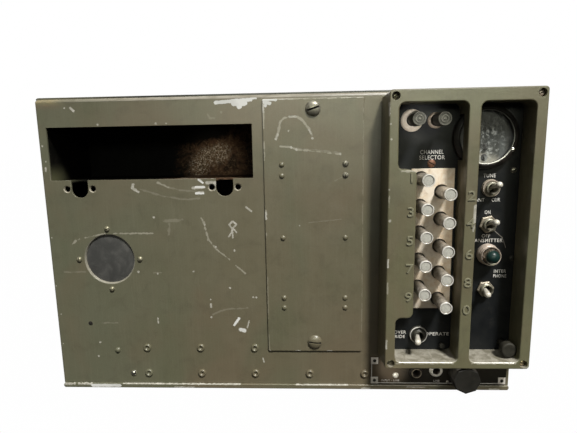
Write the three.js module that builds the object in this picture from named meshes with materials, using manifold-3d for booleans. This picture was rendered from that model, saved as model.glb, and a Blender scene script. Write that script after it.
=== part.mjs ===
// Vehicle radio set in a sheet-steel case: a painted front with an empty drawer bay, an
// access cover and a cast guard over the control panel. Millimetres, +Z up, front towards -Y.
// The origin is the centre of the case's footprint on the surface that it stands on.
import * as THREE from 'three';
import { mergeVertices } from 'three/addons/utils/BufferGeometryUtils.js';
import Module from 'manifold-3d';

const wasm = await Module();
wasm.setup();

// Case
const caseWidth = 457;
const caseDepth = 318;
const caseHeight = 295;
const sheet = 2;
const gap = 0.3;
const lipHeight = 5;
const lipProud = 1.8;

// Everything at the front is measured from the case's lower left front corner:
// x to the right, z up, and y = 0 on the face of the front sheet, negative towards the user.
const windowBox = { x0: 8, x1: 205.9, z0: 216.4, z1: 267 };
const slotCentres = [35.9, 178.1];
const slotWidth = 17;
const slotArcHeight = 207.7;
const inspection = { x: 59.7, z: 137.5, radius: 25.5, screwRadius: 31 };
const coverBox = { x0: 216.4, x1: 310.3, z0: 41.5, z1: 289 };
const coverOpening = { x0: 226, x1: 301, z0: 64, z1: 266 };
const coverFastenerX = 263.4;
const coverFastenerHeights = [51.5, 279.5];
const labelBox = { x0: 319, x1: 453.5, z0: 6.3, z1: 35.5 };
const panelBox = { x0: 331, x1: 456, z0: 38, z1: 290 };
const panelOpening = { x0: 343, x1: 453, z0: 45, z1: 284 };
const plateFront = -1.9;

// Guard
const guardBox = { x0: 328.8, x1: 462.5, z0: 35.9, z1: 291.6 };
const guardFront = -26;
const guardBack = -2.2;
const guardCorner = 5.5;
const guardFlare = 3;
const ribLeft = 396.5;
const ribRight = 407;
const guardScrews = [[334.4, 286.8], [457, 286.8], [334.4, 41], [457, 41]];

// Controls on the panel
const buttonRadius = 5.6;
const buttonFront = -31;
const buttonTravel = 6;
const buttonsOdd = { x: 362.9, heights: [213.9, 188, 162.8, 136.6, 109.8] };
const buttonsEven = { x: 382.3, heights: [201.4, 175.9, 149.7, 123.7, 97.4] };
const buttonPlaces = [buttonsOdd, buttonsEven].flatMap(({ x, heights }) => heights.map((z) => [x, z]));
const selectorBox = { x0: 354.4, x1: 394, z0: 87.5, z1: 223 };
const bankFront = 16;
const bankBack = 58;
const posts = [{ x: 353.4, z: 266.9, flange: 10.2 }, { x: 374.9, z: 266.5, flange: 7.3 }];
const meter = { x: 419.8, z: 250.8, flange: 29.3, dial: 24 };
const toggles = [
  { x: 427.7, z: 203.9, nut: 8.1, nutSides: 16, throwAxis: 'up' },
  { x: 427, z: 169.9, nut: 8.2, nutSides: 6, throwAxis: 'up' },
  { x: 427.6, z: 106.8, nut: 8, nutSides: 6, throwAxis: 'left' },
  { x: 365.1, z: 60, nut: 8.6, nutSides: 16, throwAxis: 'left' },
];
const toggleThrow = 12;
const togglePivotDepth = 1;
const lamp = { x: 428, z: 141 };
const jacks = [{ name: 'left', x: 364.3, z: 19.6 }, { name: 'right', x: 383.9, z: 21.8 }];
const knobOctagon = { x: 407.2, z: 22.1, acrossFlats: 24.4, turn: -10 };
const knobSmall = { x: 445.8, z: 51.9, radius: 6.8 };

// Inside
const deck = { x0: 12, x1: 445, y0: 92, y1: 300, top: 62 };
const dynamotor = { x: 118, y: 196, z: 108, radius: 38, length: 150 };
const tubes = [[250, 250], [300, 250], [350, 250]];
const transformerBox = { x0: 372, x1: 438, y0: 120, y1: 180, z0: 62.3, z1: 132 };
const tuner = { x: 290, y: 150, z: 100 };
const rearSocket = { x: 380, z: 150, radius: 18 };

// Materials
const paint = (color, roughness, metalness) =>
  new THREE.MeshStandardMaterial({ color, roughness, metalness });
const olive = paint(0x5c5945, 0.6, 0.2);
const castOlive = paint(0x6a6851, 0.6, 0.2);
const blackPaint = paint(0x15161a, 0.5, 0.2);
const blackMoulding = paint(0x2a2622, 0.5, 0);
const barePlate = paint(0xb7a88e, 0.4, 0.8);
const steel = paint(0x9a958c, 0.4, 0.9);
const brass = paint(0x9c7a48, 0.4, 0.9);
const bluedSteel = paint(0x4a5058, 0.5, 0.8);
const clearGlass = paint(0xbfc6c2, 0.1, 0);
const greenGlass = paint(0x1f4a3c, 0.2, 0);
const dialFace = paint(0xc4bfa8, 0.7, 0);
const rustySteel = paint(0x4a3a2a, 0.9, 0.3);

const model = new THREE.Group();
const front = new THREE.Group();
front.position.set(-caseWidth / 2, -caseDepth / 2, 0);
model.add(front);

function place(name, geometry, material, parent = front) {
  const mesh = new THREE.Mesh(geometry, material);
  mesh.name = name;
  parent.add(mesh);
  return mesh;
}

function groupAt(x, y, z, parent = front) {
  const group = new THREE.Group();
  group.position.set(x, y, z);
  parent.add(group);
  return group;
}

// Outlines in the x-z plane
const rectangle = ({ x0, x1, z0, z1 }) => [[x0, z0], [x1, z0], [x1, z1], [x0, z1]];

function circle(x, z, radius, sides = 12) {
  return Array.from({ length: sides }, (_, i) => {
    const turn = ((i + 0.5) / sides) * 2 * Math.PI;
    return [x + radius * Math.cos(turn), z + radius * Math.sin(turn)];
  });
}

function rounded(corners, radius, steps = 3) {
  const toVector = ([x, z]) => new THREE.Vector2(x, z);
  return corners.flatMap((corner, i) => {
    const here = toVector(corner);
    const before = toVector(corners[(i + corners.length - 1) % corners.length]);
    const after = toVector(corners[(i + 1) % corners.length]);
    const start = here.clone().add(before.sub(here).setLength(radius));
    const end = here.clone().add(after.sub(here).setLength(radius));
    const bend = new THREE.QuadraticBezierCurve(start, here, end);
    return bend.getPoints(steps).map((point) => [point.x, point.y]);
  });
}

// A flat piece: an outline in x-z, with holes, that fills y from yFront to yBack.
function plate(outline, holes, yFront, yBack) {
  const toVectors = (points) => points.map(([x, z]) => new THREE.Vector2(x, z));
  const shape = new THREE.Shape(toVectors(outline));
  shape.holes = holes.map((points) => new THREE.Path(toVectors(points)));
  const geometry = new THREE.ExtrudeGeometry(shape, { depth: yBack - yFront, bevelEnabled: false });
  return geometry.rotateX(Math.PI / 2).translate(0, yBack, 0);
}

// A turned piece about the y axis. The profile is a list of [radius, y] from the front,
// along the outside to the back, and then along the bore if there is one.
function turned(profile, sides = 12) {
  const points = profile.map(([radius, y]) => new THREE.Vector2(radius, y));
  return new THREE.LatheGeometry(points, sides);
}

function block(x0, y0, z0, x1, y1, z1) {
  const geometry = new THREE.BoxGeometry(x1 - x0, y1 - y0, z1 - z0);
  return geometry.translate((x0 + x1) / 2, (y0 + y1) / 2, (z0 + z1) / 2);
}

function solid(geometry) {
  const bare = geometry.clone();
  bare.deleteAttribute('normal');
  bare.deleteAttribute('uv');
  const merged = mergeVertices(bare, 1e-4);
  return new wasm.Manifold(new wasm.Mesh({
    numProp: 3,
    vertProperties: new Float32Array(merged.attributes.position.array),
    triVerts: new Uint32Array(merged.index.array),
  }));
}

function shaped(body) {
  const mesh = body.getMesh();
  const geometry = new THREE.BufferGeometry();
  geometry.setAttribute('position', new THREE.BufferAttribute(mesh.vertProperties, 3));
  geometry.setIndex(new THREE.BufferAttribute(mesh.triVerts, 1));
  return geometry;
}

const join = (...parts) => parts.map(solid).reduce((sum, part) => sum.add(part));
const cut = (body, ...tools) => tools.map(solid).reduce((rest, tool) => rest.subtract(tool), body);

// Case: U-shaped wrap with a lip over the front sheet, top cover, rear panel, front sheet
function addCase() {
  const wrapBack = caseDepth - sheet - gap;
  const inner = caseWidth - sheet;
  const sideTop = caseHeight - sheet - gap;
  const wall = [
    [0, 0], [caseWidth, 0], [caseWidth, sideTop], [inner, sideTop],
    [inner, sheet], [sheet, sheet], [sheet, sideTop], [0, sideTop],
  ];
  const lipBottom = block(0, -lipProud, 0, caseWidth, sheet + 2 * gap, sheet);
  const lip = block(0, -lipProud, 0, caseWidth, -gap, lipHeight);
  place('cabinet_wrap', shaped(join(plate(wall, [], sheet + gap, wrapBack), lipBottom, lip)), olive);

  const flangeOuter = sheet + gap;
  const flangeInner = flangeOuter + 1.5;
  const flangeDrop = caseHeight - 15;
  const lid = [
    [0, caseHeight - sheet], [flangeOuter, caseHeight - sheet], [flangeOuter, flangeDrop],
    [flangeInner, flangeDrop], [flangeInner, caseHeight - sheet],
    [caseWidth - flangeInner, caseHeight - sheet], [caseWidth - flangeInner, flangeDrop],
    [caseWidth - flangeOuter, flangeDrop], [caseWidth - flangeOuter, caseHeight - sheet],
    [caseWidth, caseHeight - sheet], [caseWidth, caseHeight], [0, caseHeight],
  ];
  place('top_cover', plate(lid, [], sheet + gap, wrapBack), olive);

  const whole = { x0: 0, x1: caseWidth, z0: 0, z1: caseHeight };
  const socketHole = circle(rearSocket.x, rearSocket.z, rearSocket.radius - 3);
  place('rear_panel', plate(rectangle(whole), [socketHole], caseDepth - sheet, caseDepth), olive);
}

function windowOutline() {
  const { x0, x1, z0, z1 } = windowBox;
  const slots = slotCentres.flatMap((centre) => {
    const half = slotWidth / 2;
    const bottom = Array.from({ length: 7 }, (_, i) => {
      const turn = Math.PI + (i / 6) * Math.PI;
      return [centre + half * Math.cos(turn), slotArcHeight + half * Math.sin(turn)];
    });
    return [[centre - half, z0], ...bottom, [centre + half, z0]];
  });
  return [[x0, z0], ...slots, [x1, z0], [x1, z1], [x0, z1]];
}

function addFrontSheet() {
  const slotHoles = slotCentres.flatMap((centre) =>
    [-12.6, 12.9].map((side) => circle(centre + side, 207.9, 2.7, 8)));
  const shaftHoles = [
    circle(knobOctagon.x, knobOctagon.z, 4),
    ...jacks.map(({ x, z }) => circle(x, z, 7)),
  ];
  const fastenerHoles = coverFastenerHeights.map((z) => circle(coverFastenerX, z, 3.6, 8));
  const holes = [
    windowOutline(),
    circle(inspection.x, inspection.z, inspection.radius, 24),
    rectangle(coverOpening),
    rectangle(panelOpening),
    ...slotHoles,
    ...shaftHoles,
    ...fastenerHoles,
  ];
  const outline = { x0: 0, x1: caseWidth, z0: sheet + gap, z1: caseHeight };
  place('front_panel', plate(rectangle(outline), holes, 0, sheet), olive);

  const discEdge = inspection.screwRadius + 4;
  const disc = circle(inspection.x, inspection.z, discEdge, 24);
  place('inspection_disc', plate(disc, [], sheet + gap, sheet + gap + 1.5), bluedSteel);
}

// Empty drawer bay behind the window: a sheet box that is open towards the front
function addDrawerBay() {
  const bay = { x0: 5.5, x1: 209, z0: 194, z1: 272 };
  const wall = 1.4;
  const back = 84;
  const start = sheet + gap;
  const outer = solid(block(bay.x0, start, bay.z0, bay.x1, back, bay.z1));
  const hollow = block(bay.x0 + wall, 0, bay.z0 + wall, bay.x1 - wall, back - wall, bay.z1 - wall);
  place('drawer_bay', shaped(cut(outer, hollow)), rustySteel);
}

function addAccessCover() {
  const holes = coverFastenerHeights.map((z) => circle(coverFastenerX, z, 3.4, 8));
  place('access_cover', plate(rounded(rectangle(coverBox), 2, 1), holes, plateFront, -gap), olive);
  const head = [
    [0, -5.4], [3.6, -5], [6.2, -3.9], [7.2, plateFront - gap], [2.8, plateFront - gap],
    [2.8, 7], [1.6, 9], [0, 9],
  ];
  ['captive_screw_bottom', 'captive_screw_top'].forEach((name, i) => {
    const group = groupAt(coverFastenerX, 0, coverFastenerHeights[i]);
    const slot = block(-8, -6, -0.7, 8, -4.2, 0.7);
    place(name, shaped(cut(solid(turned(head, 16)), slot)), steel, group);
  });
}

function addControlPanel() {
  const holes = [
    ...buttonPlaces.map(([x, z]) => circle(x, z, buttonRadius + 1)),
    ...posts.map(({ x, z }) => circle(x, z, 3.6, 8)),
    circle(meter.x, meter.z, 26.8, 24),
    ...toggles.map(({ x, z }) => circle(x, z, 6.6)),
    circle(lamp.x, lamp.z, 7.6),
    circle(knobSmall.x, knobSmall.z, 3.6, 8),
  ];
  place('control_panel', plate(rectangle(panelBox), holes, plateFront, -gap), blackPaint);

  const labelHoles = [
    circle(knobOctagon.x, knobOctagon.z, 4, 8),
    ...jacks.map(({ x, z }) => circle(x, z, 5)),
  ];
  place('lower_label_plate', plate(rectangle(labelBox), labelHoles, plateFront, -gap), blackPaint);

  const selectorHoles = buttonPlaces.map(([x, z]) => circle(x, z, buttonRadius + 1));
  const selectorTop = plateFront - gap;
  place('selector_plate',
    plate(rectangle(selectorBox), selectorHoles, selectorTop - 1.6, selectorTop), barePlate);
}

// Cast guard: two tall openings, a broad left bar beside the buttons, a rib between
function addGuard() {
  const left = [
    [338, 42.4], [ribLeft, 42.4], [ribLeft, 281], [337.4, 281],
    [337.4, 223], [354, 223], [354, 86], [338, 86],
  ];
  const right = rectangle({ x0: ribRight, x1: 453, z0: 42.4, z1: 280.5 });
  const outline = rounded(rectangle(guardBox), 3, 2);
  const flare = new THREE.Shape([
    new THREE.Vector2(guardBox.x0 + 3, guardFront + 1),
    new THREE.Vector2(guardBox.x0 + 3, guardBack),
    new THREE.Vector2(guardBox.x0 - guardFlare, guardBack),
    new THREE.Vector2(guardBox.x0, guardFront + 1),
  ]);
  const flareHeight = guardBox.z1 - guardBox.z0 - 8;
  const leftFlare = new THREE.ExtrudeGeometry(flare, { depth: flareHeight, bevelEnabled: false });
  leftFlare.translate(0, 0, guardBox.z0 + 4);
  const openings = [rounded(left, guardCorner), rounded(right, guardCorner)];
  const casting = join(plate(outline, openings, guardFront, guardBack), leftFlare);
  const meterRelief = plate(circle(meter.x, meter.z, 31, 24), [], -14.4, 0);
  const seats = guardScrews.flatMap(([x, z]) => [
    plate(circle(x, z, 3.6), [], guardFront - 1, guardFront + 6),
    plate(circle(x, z, 2.3, 8), [], guardFront, 0),
  ]);
  place('control_guard', shaped(cut(casting, meterRelief, ...seats)), castOlive);

  const screw = [
    [0, guardFront + 3.4], [3.2, guardFront + 3.4], [3.2, guardFront + 5.6],
    [1.9, guardFront + 5.6], [1.9, -3], [0, -3],
  ];
  guardScrews.forEach(([x, z], i) => {
    place(`guard_screw_${i + 1}`, turned(screw, 8), steel, groupAt(x, 0, z));
  });
}

// Ten channel buttons: a tubular cap in front of the plate and a stem through the bank frame
function addButtons() {
  const profile = [
    [0, buttonFront + 0.5], [buttonRadius - 1.2, buttonFront + 0.5], [buttonRadius - 1, buttonFront],
    [buttonRadius, buttonFront + 0.4], [buttonRadius, 6], [2.6, 6], [2.6, bankBack - 8],
    [0, bankBack - 8],
  ];
  const addButton = (number, x, z) =>
    place(`channel_button_${number}`, turned(profile), steel, groupAt(x, 0, z));
  buttonsOdd.heights.forEach((z, i) => addButton(2 * i + 1, buttonsOdd.x, z));
  buttonsEven.heights.forEach((z, i) => addButton(2 * i + 2, buttonsEven.x, z));

  // The frame is a sheet box, open at its sides, that guides the ten stems at both ends.
  const frameBox = { x0: 352, x1: 393, z0: 88, z1: 223 };
  const wall = 1.6;
  const rear = bankBack - 10;
  const hollow = block(frameBox.x0 - 1, bankFront + wall, frameBox.z0 + wall,
    frameBox.x1 + 1, rear - wall, frameBox.z1 - wall);
  const guides = buttonPlaces.map(([x, z]) => plate(circle(x, z, 3.2, 8), [], bankFront - 1, rear + 1));
  const box = solid(plate(rectangle(frameBox), [], bankFront, rear));
  place('button_bank_frame', shaped(cut(box, hollow, ...guides)), steel);
}

function addBindingPosts() {
  posts.forEach(({ x, z, flange }, i) => {
    const group = groupAt(x, 0, z);
    const base = [
      [0, -26], [2.2, -26], [2.2, -8.4], [4.6, -8.4], [flange - 1.4, -5.6], [flange, -3.4],
      [flange, plateFront - gap], [3, plateFront - gap], [3, 12], [0, 12],
    ];
    const cap = [
      [0, -31], [5, -31], [6, -30], [6, -12], [4.2, -9], [2.5, -9], [2.5, -26.4], [0, -26.4],
    ];
    place(`binding_post_base_${i + 1}`, turned(base), blackMoulding, group);
    place(`binding_post_cap_${i + 1}`, turned(cap), steel, group);
  });
}

function addMeter() {
  const group = groupAt(meter.x, 0, meter.z);
  const dialBack = -2.4;
  const shell = [
    [meter.dial + 0.6, -9.4], [meter.flange - 1.5, -8.8], [meter.flange, -7.2],
    [meter.flange, plateFront - gap], [26.2, plateFront - gap], [26.2, 36], [0, 36],
    [0, dialBack + gap], [meter.dial + 0.6, dialBack + gap],
  ];
  place('meter_case', turned([...shell, shell[0]], 24), blackMoulding, group);
  const disc = (radius, yFront, yBack) =>
    turned([[0, yFront], [radius, yFront], [radius, yBack], [0, yBack]], 24);
  place('meter_dial', disc(meter.dial, dialBack - 0.8, dialBack), dialFace, group);
  place('meter_glass', disc(meter.dial + 0.2, -8.6, -7.4), clearGlass, group);

  const pivot = groupAt(0, -5, -9, group);
  const hub = turned([[0, -0.5], [1.6, -0.5], [1.6, 0.5], [0, 0.5]], 8);
  const pointer = block(-0.4, -0.3, 0, 0.4, 0.3, 27);
  const needle = place('meter_needle', shaped(join(hub, pointer)), blackPaint, pivot);
  needle.rotation.y = THREE.MathUtils.degToRad(-45);
}

function addToggles() {
  toggles.forEach(({ x, z, nut, nutSides, throwAxis }, i) => {
    const group = groupAt(x, 0, z);
    const nutBack = plateFront - gap;
    const nutBody = turned([[0, -5], [nut - 0.6, -5], [nut, -4.4], [nut, nutBack], [0, nutBack]], nutSides);
    const bushing = turned([[0, -9], [5.8, -9], [5.8, 4], [0, 4]]);
    const housing = block(-8.5, 2.6, -8.5, 8.5, 24, 8.5);
    const bore = turned([[0, -10], [4.4, -10], [4.4, 6], [0, 6]]);
    place(`toggle_body_${i + 1}`, shaped(cut(join(nutBody, bushing, housing), bore)), steel, group);

    const lever = groupAt(0, togglePivotDepth, 0, group);
    const angle = THREE.MathUtils.degToRad(toggleThrow);
    if (throwAxis === 'up') lever.rotation.x = -angle;
    else lever.rotation.z = -angle;
    const bat = [
      [0, -24], [1.6, -23.6], [2.7, -22.2], [2.9, -20.4], [2.2, -15], [1.6, -9], [1.6, -2.6],
      [2.8, -1.4], [2.8, 1.4], [0, 2.8],
    ];
    place(`toggle_lever_${i + 1}`, turned(bat), steel, lever);
  });
}

function addLamp() {
  const group = groupAt(lamp.x, 0, lamp.z);
  const body = [
    [7.4, -12], [9.2, -11], [10.2, -6], [10.2, plateFront - gap], [7, plateFront - gap],
    [7, 22], [0, 22], [0, 20], [5.4, 20], [5.4, -4], [7.4, -12],
  ];
  place('pilot_lamp_body', turned(body), steel, group);
  const jewel = [[0, -20], [3.4, -19.2], [5.8, -16.8], [6.6, -13.4], [6.6, -12.4], [5, -4], [5, 2], [0, 2]];
  place('pilot_lamp_jewel', turned(jewel), greenGlass, group);
}

function addJacks() {
  jacks.forEach(({ name, x, z }) => {
    const tube = [
      [3.6, -5.2], [5.2, -5.2], [6.5, -3.8], [6.5, plateFront - gap], [4.6, plateFront - gap],
      [4.6, 30], [0, 30], [0, 27], [3.6, 27], [3.6, -5.2],
    ];
    place(`phone_jack_${name}`, turned(tube), brass, groupAt(x, 0, z));
  });
}

function addKnobs() {
  const reach = knobOctagon.acrossFlats / 2 / Math.cos(Math.PI / 8);
  const octagon = circle(0, 0, reach, 8);
  const cap = plate(octagon, [], -24, -6);
  const skirt = turned([[0, -6.5], [9, -6.5], [9, -2.6], [3.4, -2.6], [3.4, 26], [0, 26]]);
  const octagonGroup = groupAt(knobOctagon.x, 0, knobOctagon.z);
  const octagonKnob = place('octagonal_knob', shaped(join(cap, skirt)), blackMoulding, octagonGroup);
  octagonKnob.rotation.y = THREE.MathUtils.degToRad(knobOctagon.turn);

  const r = knobSmall.radius;
  const small = [
    [0, -21], [r - 1, -21], [r, -20], [r, -14], [r - 1, -13], [2.9, -13], [2.9, 24], [0, 24],
  ];
  place('trimmer_knob', turned(small), blackMoulding, groupAt(knobSmall.x, 0, knobSmall.z));
}

// Chassis deck with the dynamotor, tubes, transformer and the tuning capacitor
function addChassis() {
  const foot = sheet + gap;
  const { x0, x1, y0, y1, top } = deck;
  const outline = [
    [x0, foot], [x0 + 1.6, foot], [x0 + 1.6, top - 1.6], [x1 - 1.6, top - 1.6],
    [x1 - 1.6, foot], [x1, foot], [x1, top], [x0, top],
  ];
  place('chassis_deck', plate(outline, [], y0, y1), steel);

  tubes.forEach(([x, y], i) => {
    const bulb = new THREE.LatheGeometry([
      [0, 0], [15, 0], [15, 22], [19, 34], [19, 70], [12, 84], [4, 88], [4, 96], [0, 96],
    ].map(([radius, z]) => new THREE.Vector2(radius, z)), 12).rotateX(Math.PI / 2);
    place(`vacuum_tube_${i + 1}`, bulb, clearGlass, groupAt(x, y, top + gap));
  });

  const t = transformerBox;
  place('power_transformer', block(t.x0, t.y0, t.z0, t.x1, t.y1, t.z1), blackPaint);
}

function addDynamotor() {
  const { x, y, z, radius, length } = dynamotor;
  const half = length / 2;
  const group = groupAt(x, y, z);
  const shell = [
    [6.3, -half], [radius - 8, -half], [radius, -half + 8], [radius, half - 8], [radius - 8, half],
    [6.3, half], [6.3, half - 4], [radius - 5, half - 10], [radius - 5, -half + 10], [6.3, -half + 4],
    [6.3, -half],
  ];
  const standDrop = z - deck.top - gap;
  const stand = block(-24, -half + 14, -standDrop, 24, half - 14, -radius + 3);
  place('dynamotor_frame', shaped(join(turned(shell, 16), stand)), blackPaint, group);
  const core = [
    [0, -half - 6], [5.7, -half - 6], [5.7, -half + 16], [29, -half + 22], [29, half - 22],
    [5.7, half - 16], [5.7, half + 6], [0, half + 6],
  ];
  place('dynamotor_armature', turned(core, 12), brass, group);
}

function addTuner() {
  const group = groupAt(tuner.x, tuner.y, tuner.z);
  const halfDisc = (radius) => Array.from({ length: 11 }, (_, i) => {
    const turn = (i / 10) * Math.PI;
    return [radius * Math.cos(turn), radius * Math.sin(turn)];
  });
  const vane = halfDisc(27);
  const pitch = 9;
  const vanes = [-2, -1, 0, 1, 2].map((i) => plate(vane, [], i * pitch - 1, i * pitch + 1));
  const shaft = turned([[0, -34], [4, -34], [4, 34], [0, 34]]);
  place('tuning_capacitor_rotor', shaped(join(shaft, ...vanes)), brass, group);

  const foot = deck.top + gap - tuner.z;
  const base = block(-34, -32, foot, 34, 32, -31);
  const bearing = turned([[0, -40], [4.5, -40], [4.5, 40], [0, 40]]);
  const ends = [-30, 27].map((y) => cut(solid(block(-34, y, foot, 34, y + 3, 12)), bearing));
  const stators = [-1.5, -0.5, 0.5, 1.5].map((i) =>
    solid(block(-30, i * pitch - 1, -32, 30, i * pitch + 1, -5)));
  const frame = [...ends, ...stators].reduce((sum, part) => sum.add(part), solid(base));
  place('tuning_capacitor_frame', shaped(frame), steel, group);
}

function addRearSocket() {
  const { x, z, radius } = rearSocket;
  const barrel = radius - 4;
  const bore = radius - 7;
  const cup = [
    [0, -26], [barrel, -26], [barrel, gap], [radius, gap], [radius, 4], [bore, 4],
    [bore, -20], [0, -20],
  ];
  place('rear_connector', turned(cup), steel, groupAt(x, caseDepth, z));
}

addCase();
addFrontSheet();
addDrawerBay();
addAccessCover();
addControlPanel();
addGuard();
addButtons();
addBindingPosts();
addMeter();
addToggles();
addLamp();
addJacks();
addKnobs();
addChassis();
addDynamotor();
addTuner();
addRearSocket();

export default model;
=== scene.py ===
"""Vehicle radio set: the visible surfaces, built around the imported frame."""
import math
import random

import bmesh
import bpy
from mathutils import Matrix, Vector, geometry


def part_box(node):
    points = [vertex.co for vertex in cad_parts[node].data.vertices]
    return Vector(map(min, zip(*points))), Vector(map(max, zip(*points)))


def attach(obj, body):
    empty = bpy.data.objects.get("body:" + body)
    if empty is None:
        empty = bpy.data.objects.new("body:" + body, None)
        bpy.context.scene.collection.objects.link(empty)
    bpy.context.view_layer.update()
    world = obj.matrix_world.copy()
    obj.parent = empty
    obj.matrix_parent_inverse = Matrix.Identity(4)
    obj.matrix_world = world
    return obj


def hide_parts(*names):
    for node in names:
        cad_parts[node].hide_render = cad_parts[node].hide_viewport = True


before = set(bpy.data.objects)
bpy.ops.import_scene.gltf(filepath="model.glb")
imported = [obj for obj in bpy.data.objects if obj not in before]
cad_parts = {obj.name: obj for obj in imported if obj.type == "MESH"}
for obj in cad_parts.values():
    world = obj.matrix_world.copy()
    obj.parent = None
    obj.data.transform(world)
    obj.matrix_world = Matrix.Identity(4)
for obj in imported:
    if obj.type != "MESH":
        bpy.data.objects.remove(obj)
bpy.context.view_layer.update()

# ---------------------------------------------------------------------------
# Places. Everything is laid out in millimetres from the case's lower left front
# corner: x to the right, y into the case, z up. place() turns that into metres.
# ---------------------------------------------------------------------------
MM = 0.001
CORNER = Vector((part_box("front_panel")[0].x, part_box("front_panel")[0].y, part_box("cabinet_wrap")[0].z))
TO_METRES = Matrix.Translation(CORNER) @ Matrix.Scale(MM, 4)


def place(x, y, z):
    return TO_METRES @ Vector((x, y, z))


def span(node):
    low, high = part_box(node)
    return (low - CORNER) / MM, (high - CORNER) / MM


def middle(node):
    low, high = span(node)
    return (low + high) / 2


CASE_WIDTH = span("front_panel")[1].x
CASE_HEIGHT = span("front_panel")[1].z
CASE_DEPTH = span("rear_panel")[1].y
PANEL_FACE = span("control_panel")[0].y
GUARD_FACE = span("control_guard")[0].y
SHEET = span("front_panel")[1].y

# ---------------------------------------------------------------------------
# Outlines and solids
# ---------------------------------------------------------------------------


def rectangle(x0, z0, x1, z1):
    return [(x0, z0), (x1, z0), (x1, z1), (x0, z1)]


def circle(x, z, radius, sides=48, phase=0.0):
    turns = [phase + 2 * math.pi * i / sides for i in range(sides)]
    return [(x + radius * math.cos(t), z + radius * math.sin(t)) for t in turns]


def rounded(corners, radius, steps=6):
    """The outline with an arc of that radius at each corner (right angles assumed)."""
    points = []
    count = len(corners)
    for i, corner in enumerate(corners):
        here = Vector(corner)
        before = (Vector(corners[i - 1]) - here).normalized() * radius
        after = (Vector(corners[(i + 1) % count]) - here).normalized() * radius
        hub = here + before + after
        for k in range(steps + 1):
            turn = math.pi / 2 * k / steps
            points.append(tuple(hub - after * math.cos(turn) - before * math.sin(turn)))
    return points


def signed_area(points):
    pairs = zip(points, points[1:] + points[:1])
    return sum(a[0] * b[1] - b[0] * a[1] for a, b in pairs) / 2


def wound(points, anticlockwise):
    return list(points) if (signed_area(points) > 0) == anticlockwise else list(reversed(points))


def inset(points, distance):
    """The outline moved to the left of its direction of travel by distance, mitred."""
    result = []
    count = len(points)
    for i, point in enumerate(points):
        here = Vector(point)
        forward_in = (here - Vector(points[i - 1])).normalized()
        forward_out = (Vector(points[(i + 1) % count]) - here).normalized()
        left_in = Vector((-forward_in.y, forward_in.x))
        left_out = Vector((-forward_out.y, forward_out.x))
        bisector = (left_in + left_out).normalized()
        reach = distance / max(0.3, bisector.dot(left_in))
        result.append(tuple(here + bisector * reach))
    return result


def edge_sections(y_front, y_back, bevel, back_bevel, steps=3):
    """(inset, y) pairs from the front cap's rim round the edge to the back cap's rim."""
    sections = []
    for k in range(steps + 1):
        turn = math.pi / 2 * k / steps
        sections.append((bevel * (1 - math.sin(turn)), y_front + bevel * (1 - math.cos(turn))))
    if back_bevel:
        for k in range(steps + 1):
            turn = math.pi / 2 * k / steps
            sections.append((back_bevel * (1 - math.cos(turn)), y_back - back_bevel * (1 - math.sin(turn))))
    else:
        sections.append((0, y_back))
    return sections


def plate(outline, holes, y_front, y_back, bevel=0.4, back_bevel=0.0):
    """A flat piece with holes whose front edges, and back edges if asked, are rounded."""
    mesh = bmesh.new()
    loops = [wound(outline, True)] + [wound(hole, False) for hole in holes]
    sections = edge_sections(y_front, y_back, bevel, back_bevel)
    rings = []
    for loop in loops:
        rings.append([
            [mesh.verts.new((x, y, z)) for x, z in (inset(loop, depth) if depth else loop)]
            for depth, y in sections
        ])
    for stack in rings:
        for front, back in zip(stack, stack[1:]):
            count = len(front)
            for i in range(count):
                k = (i + 1) % count
                face = mesh.faces.new((front[i], back[i], back[k], front[k]))
                face.smooth = True
    for which in (0, -1):
        flat = [[Vector((v.co.x, v.co.z, 0)) for v in stack[which]] for stack in rings]
        verts = [v for stack in rings for v in stack[which]]
        for triangle in geometry.tessellate_polygon(flat):
            a, b, c = (verts[i] for i in triangle)
            turn = (b.co - a.co).cross(c.co - a.co).y
            if (turn > 0) == (which == 0):
                b, c = c, b
            mesh.faces.new((a, b, c)).smooth = False
    return mesh


def softened(profile, radius, steps=3):
    """A turned profile with its inner corners rounded by about that radius."""
    points = [profile[0]]
    for before, here, after in zip(profile, profile[1:], profile[2:]):
        corner = Vector(here)
        back = Vector(before) - corner
        ahead = Vector(after) - corner
        reach = min(radius, back.length * 0.45, ahead.length * 0.45)
        start = corner + back.normalized() * reach
        end = corner + ahead.normalized() * reach
        for k in range(steps + 1):
            t = k / steps
            points.append(tuple(start * (1 - t) ** 2 + corner * 2 * t * (1 - t) + end * t ** 2))
    points.append(profile[-1])
    return points


def turned(profile, x, z, sides=48, ripple=None, phase=0.0, smooth=True):
    """A solid of revolution about the line along y at (x, z). The profile is (radius, y)
    from the front axis along the outside to the back; it may close on itself instead.
    ripple(point index, side index) scales a radius, for knurls and flats."""
    mesh = bmesh.new()
    closed = profile[0] == profile[-1] and profile[0][0] > 0
    if closed:
        profile = profile[:-1]
    rings = []
    for index, (radius, y) in enumerate(profile):
        if radius <= 1e-6:
            rings.append([mesh.verts.new((x, y, z))])
            continue
        ring = []
        for side in range(sides):
            turn = phase + 2 * math.pi * side / sides
            r = radius * (ripple(index, side) if ripple else 1)
            ring.append(mesh.verts.new((x + r * math.cos(turn), y, z + r * math.sin(turn))))
        rings.append(ring)
    pairs = list(zip(rings, rings[1:]))
    if closed:
        pairs.append((rings[-1], rings[0]))
    for front, back in pairs:
        for i in range(sides):
            k = (i + 1) % sides
            corners = [front[i % len(front)], back[i % len(back)], back[k % len(back)], front[k % len(front)]]
            corners = [v for n, v in enumerate(corners) if v not in corners[:n]]
            if len(corners) > 2:
                mesh.faces.new(corners).smooth = smooth
    return mesh


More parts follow.
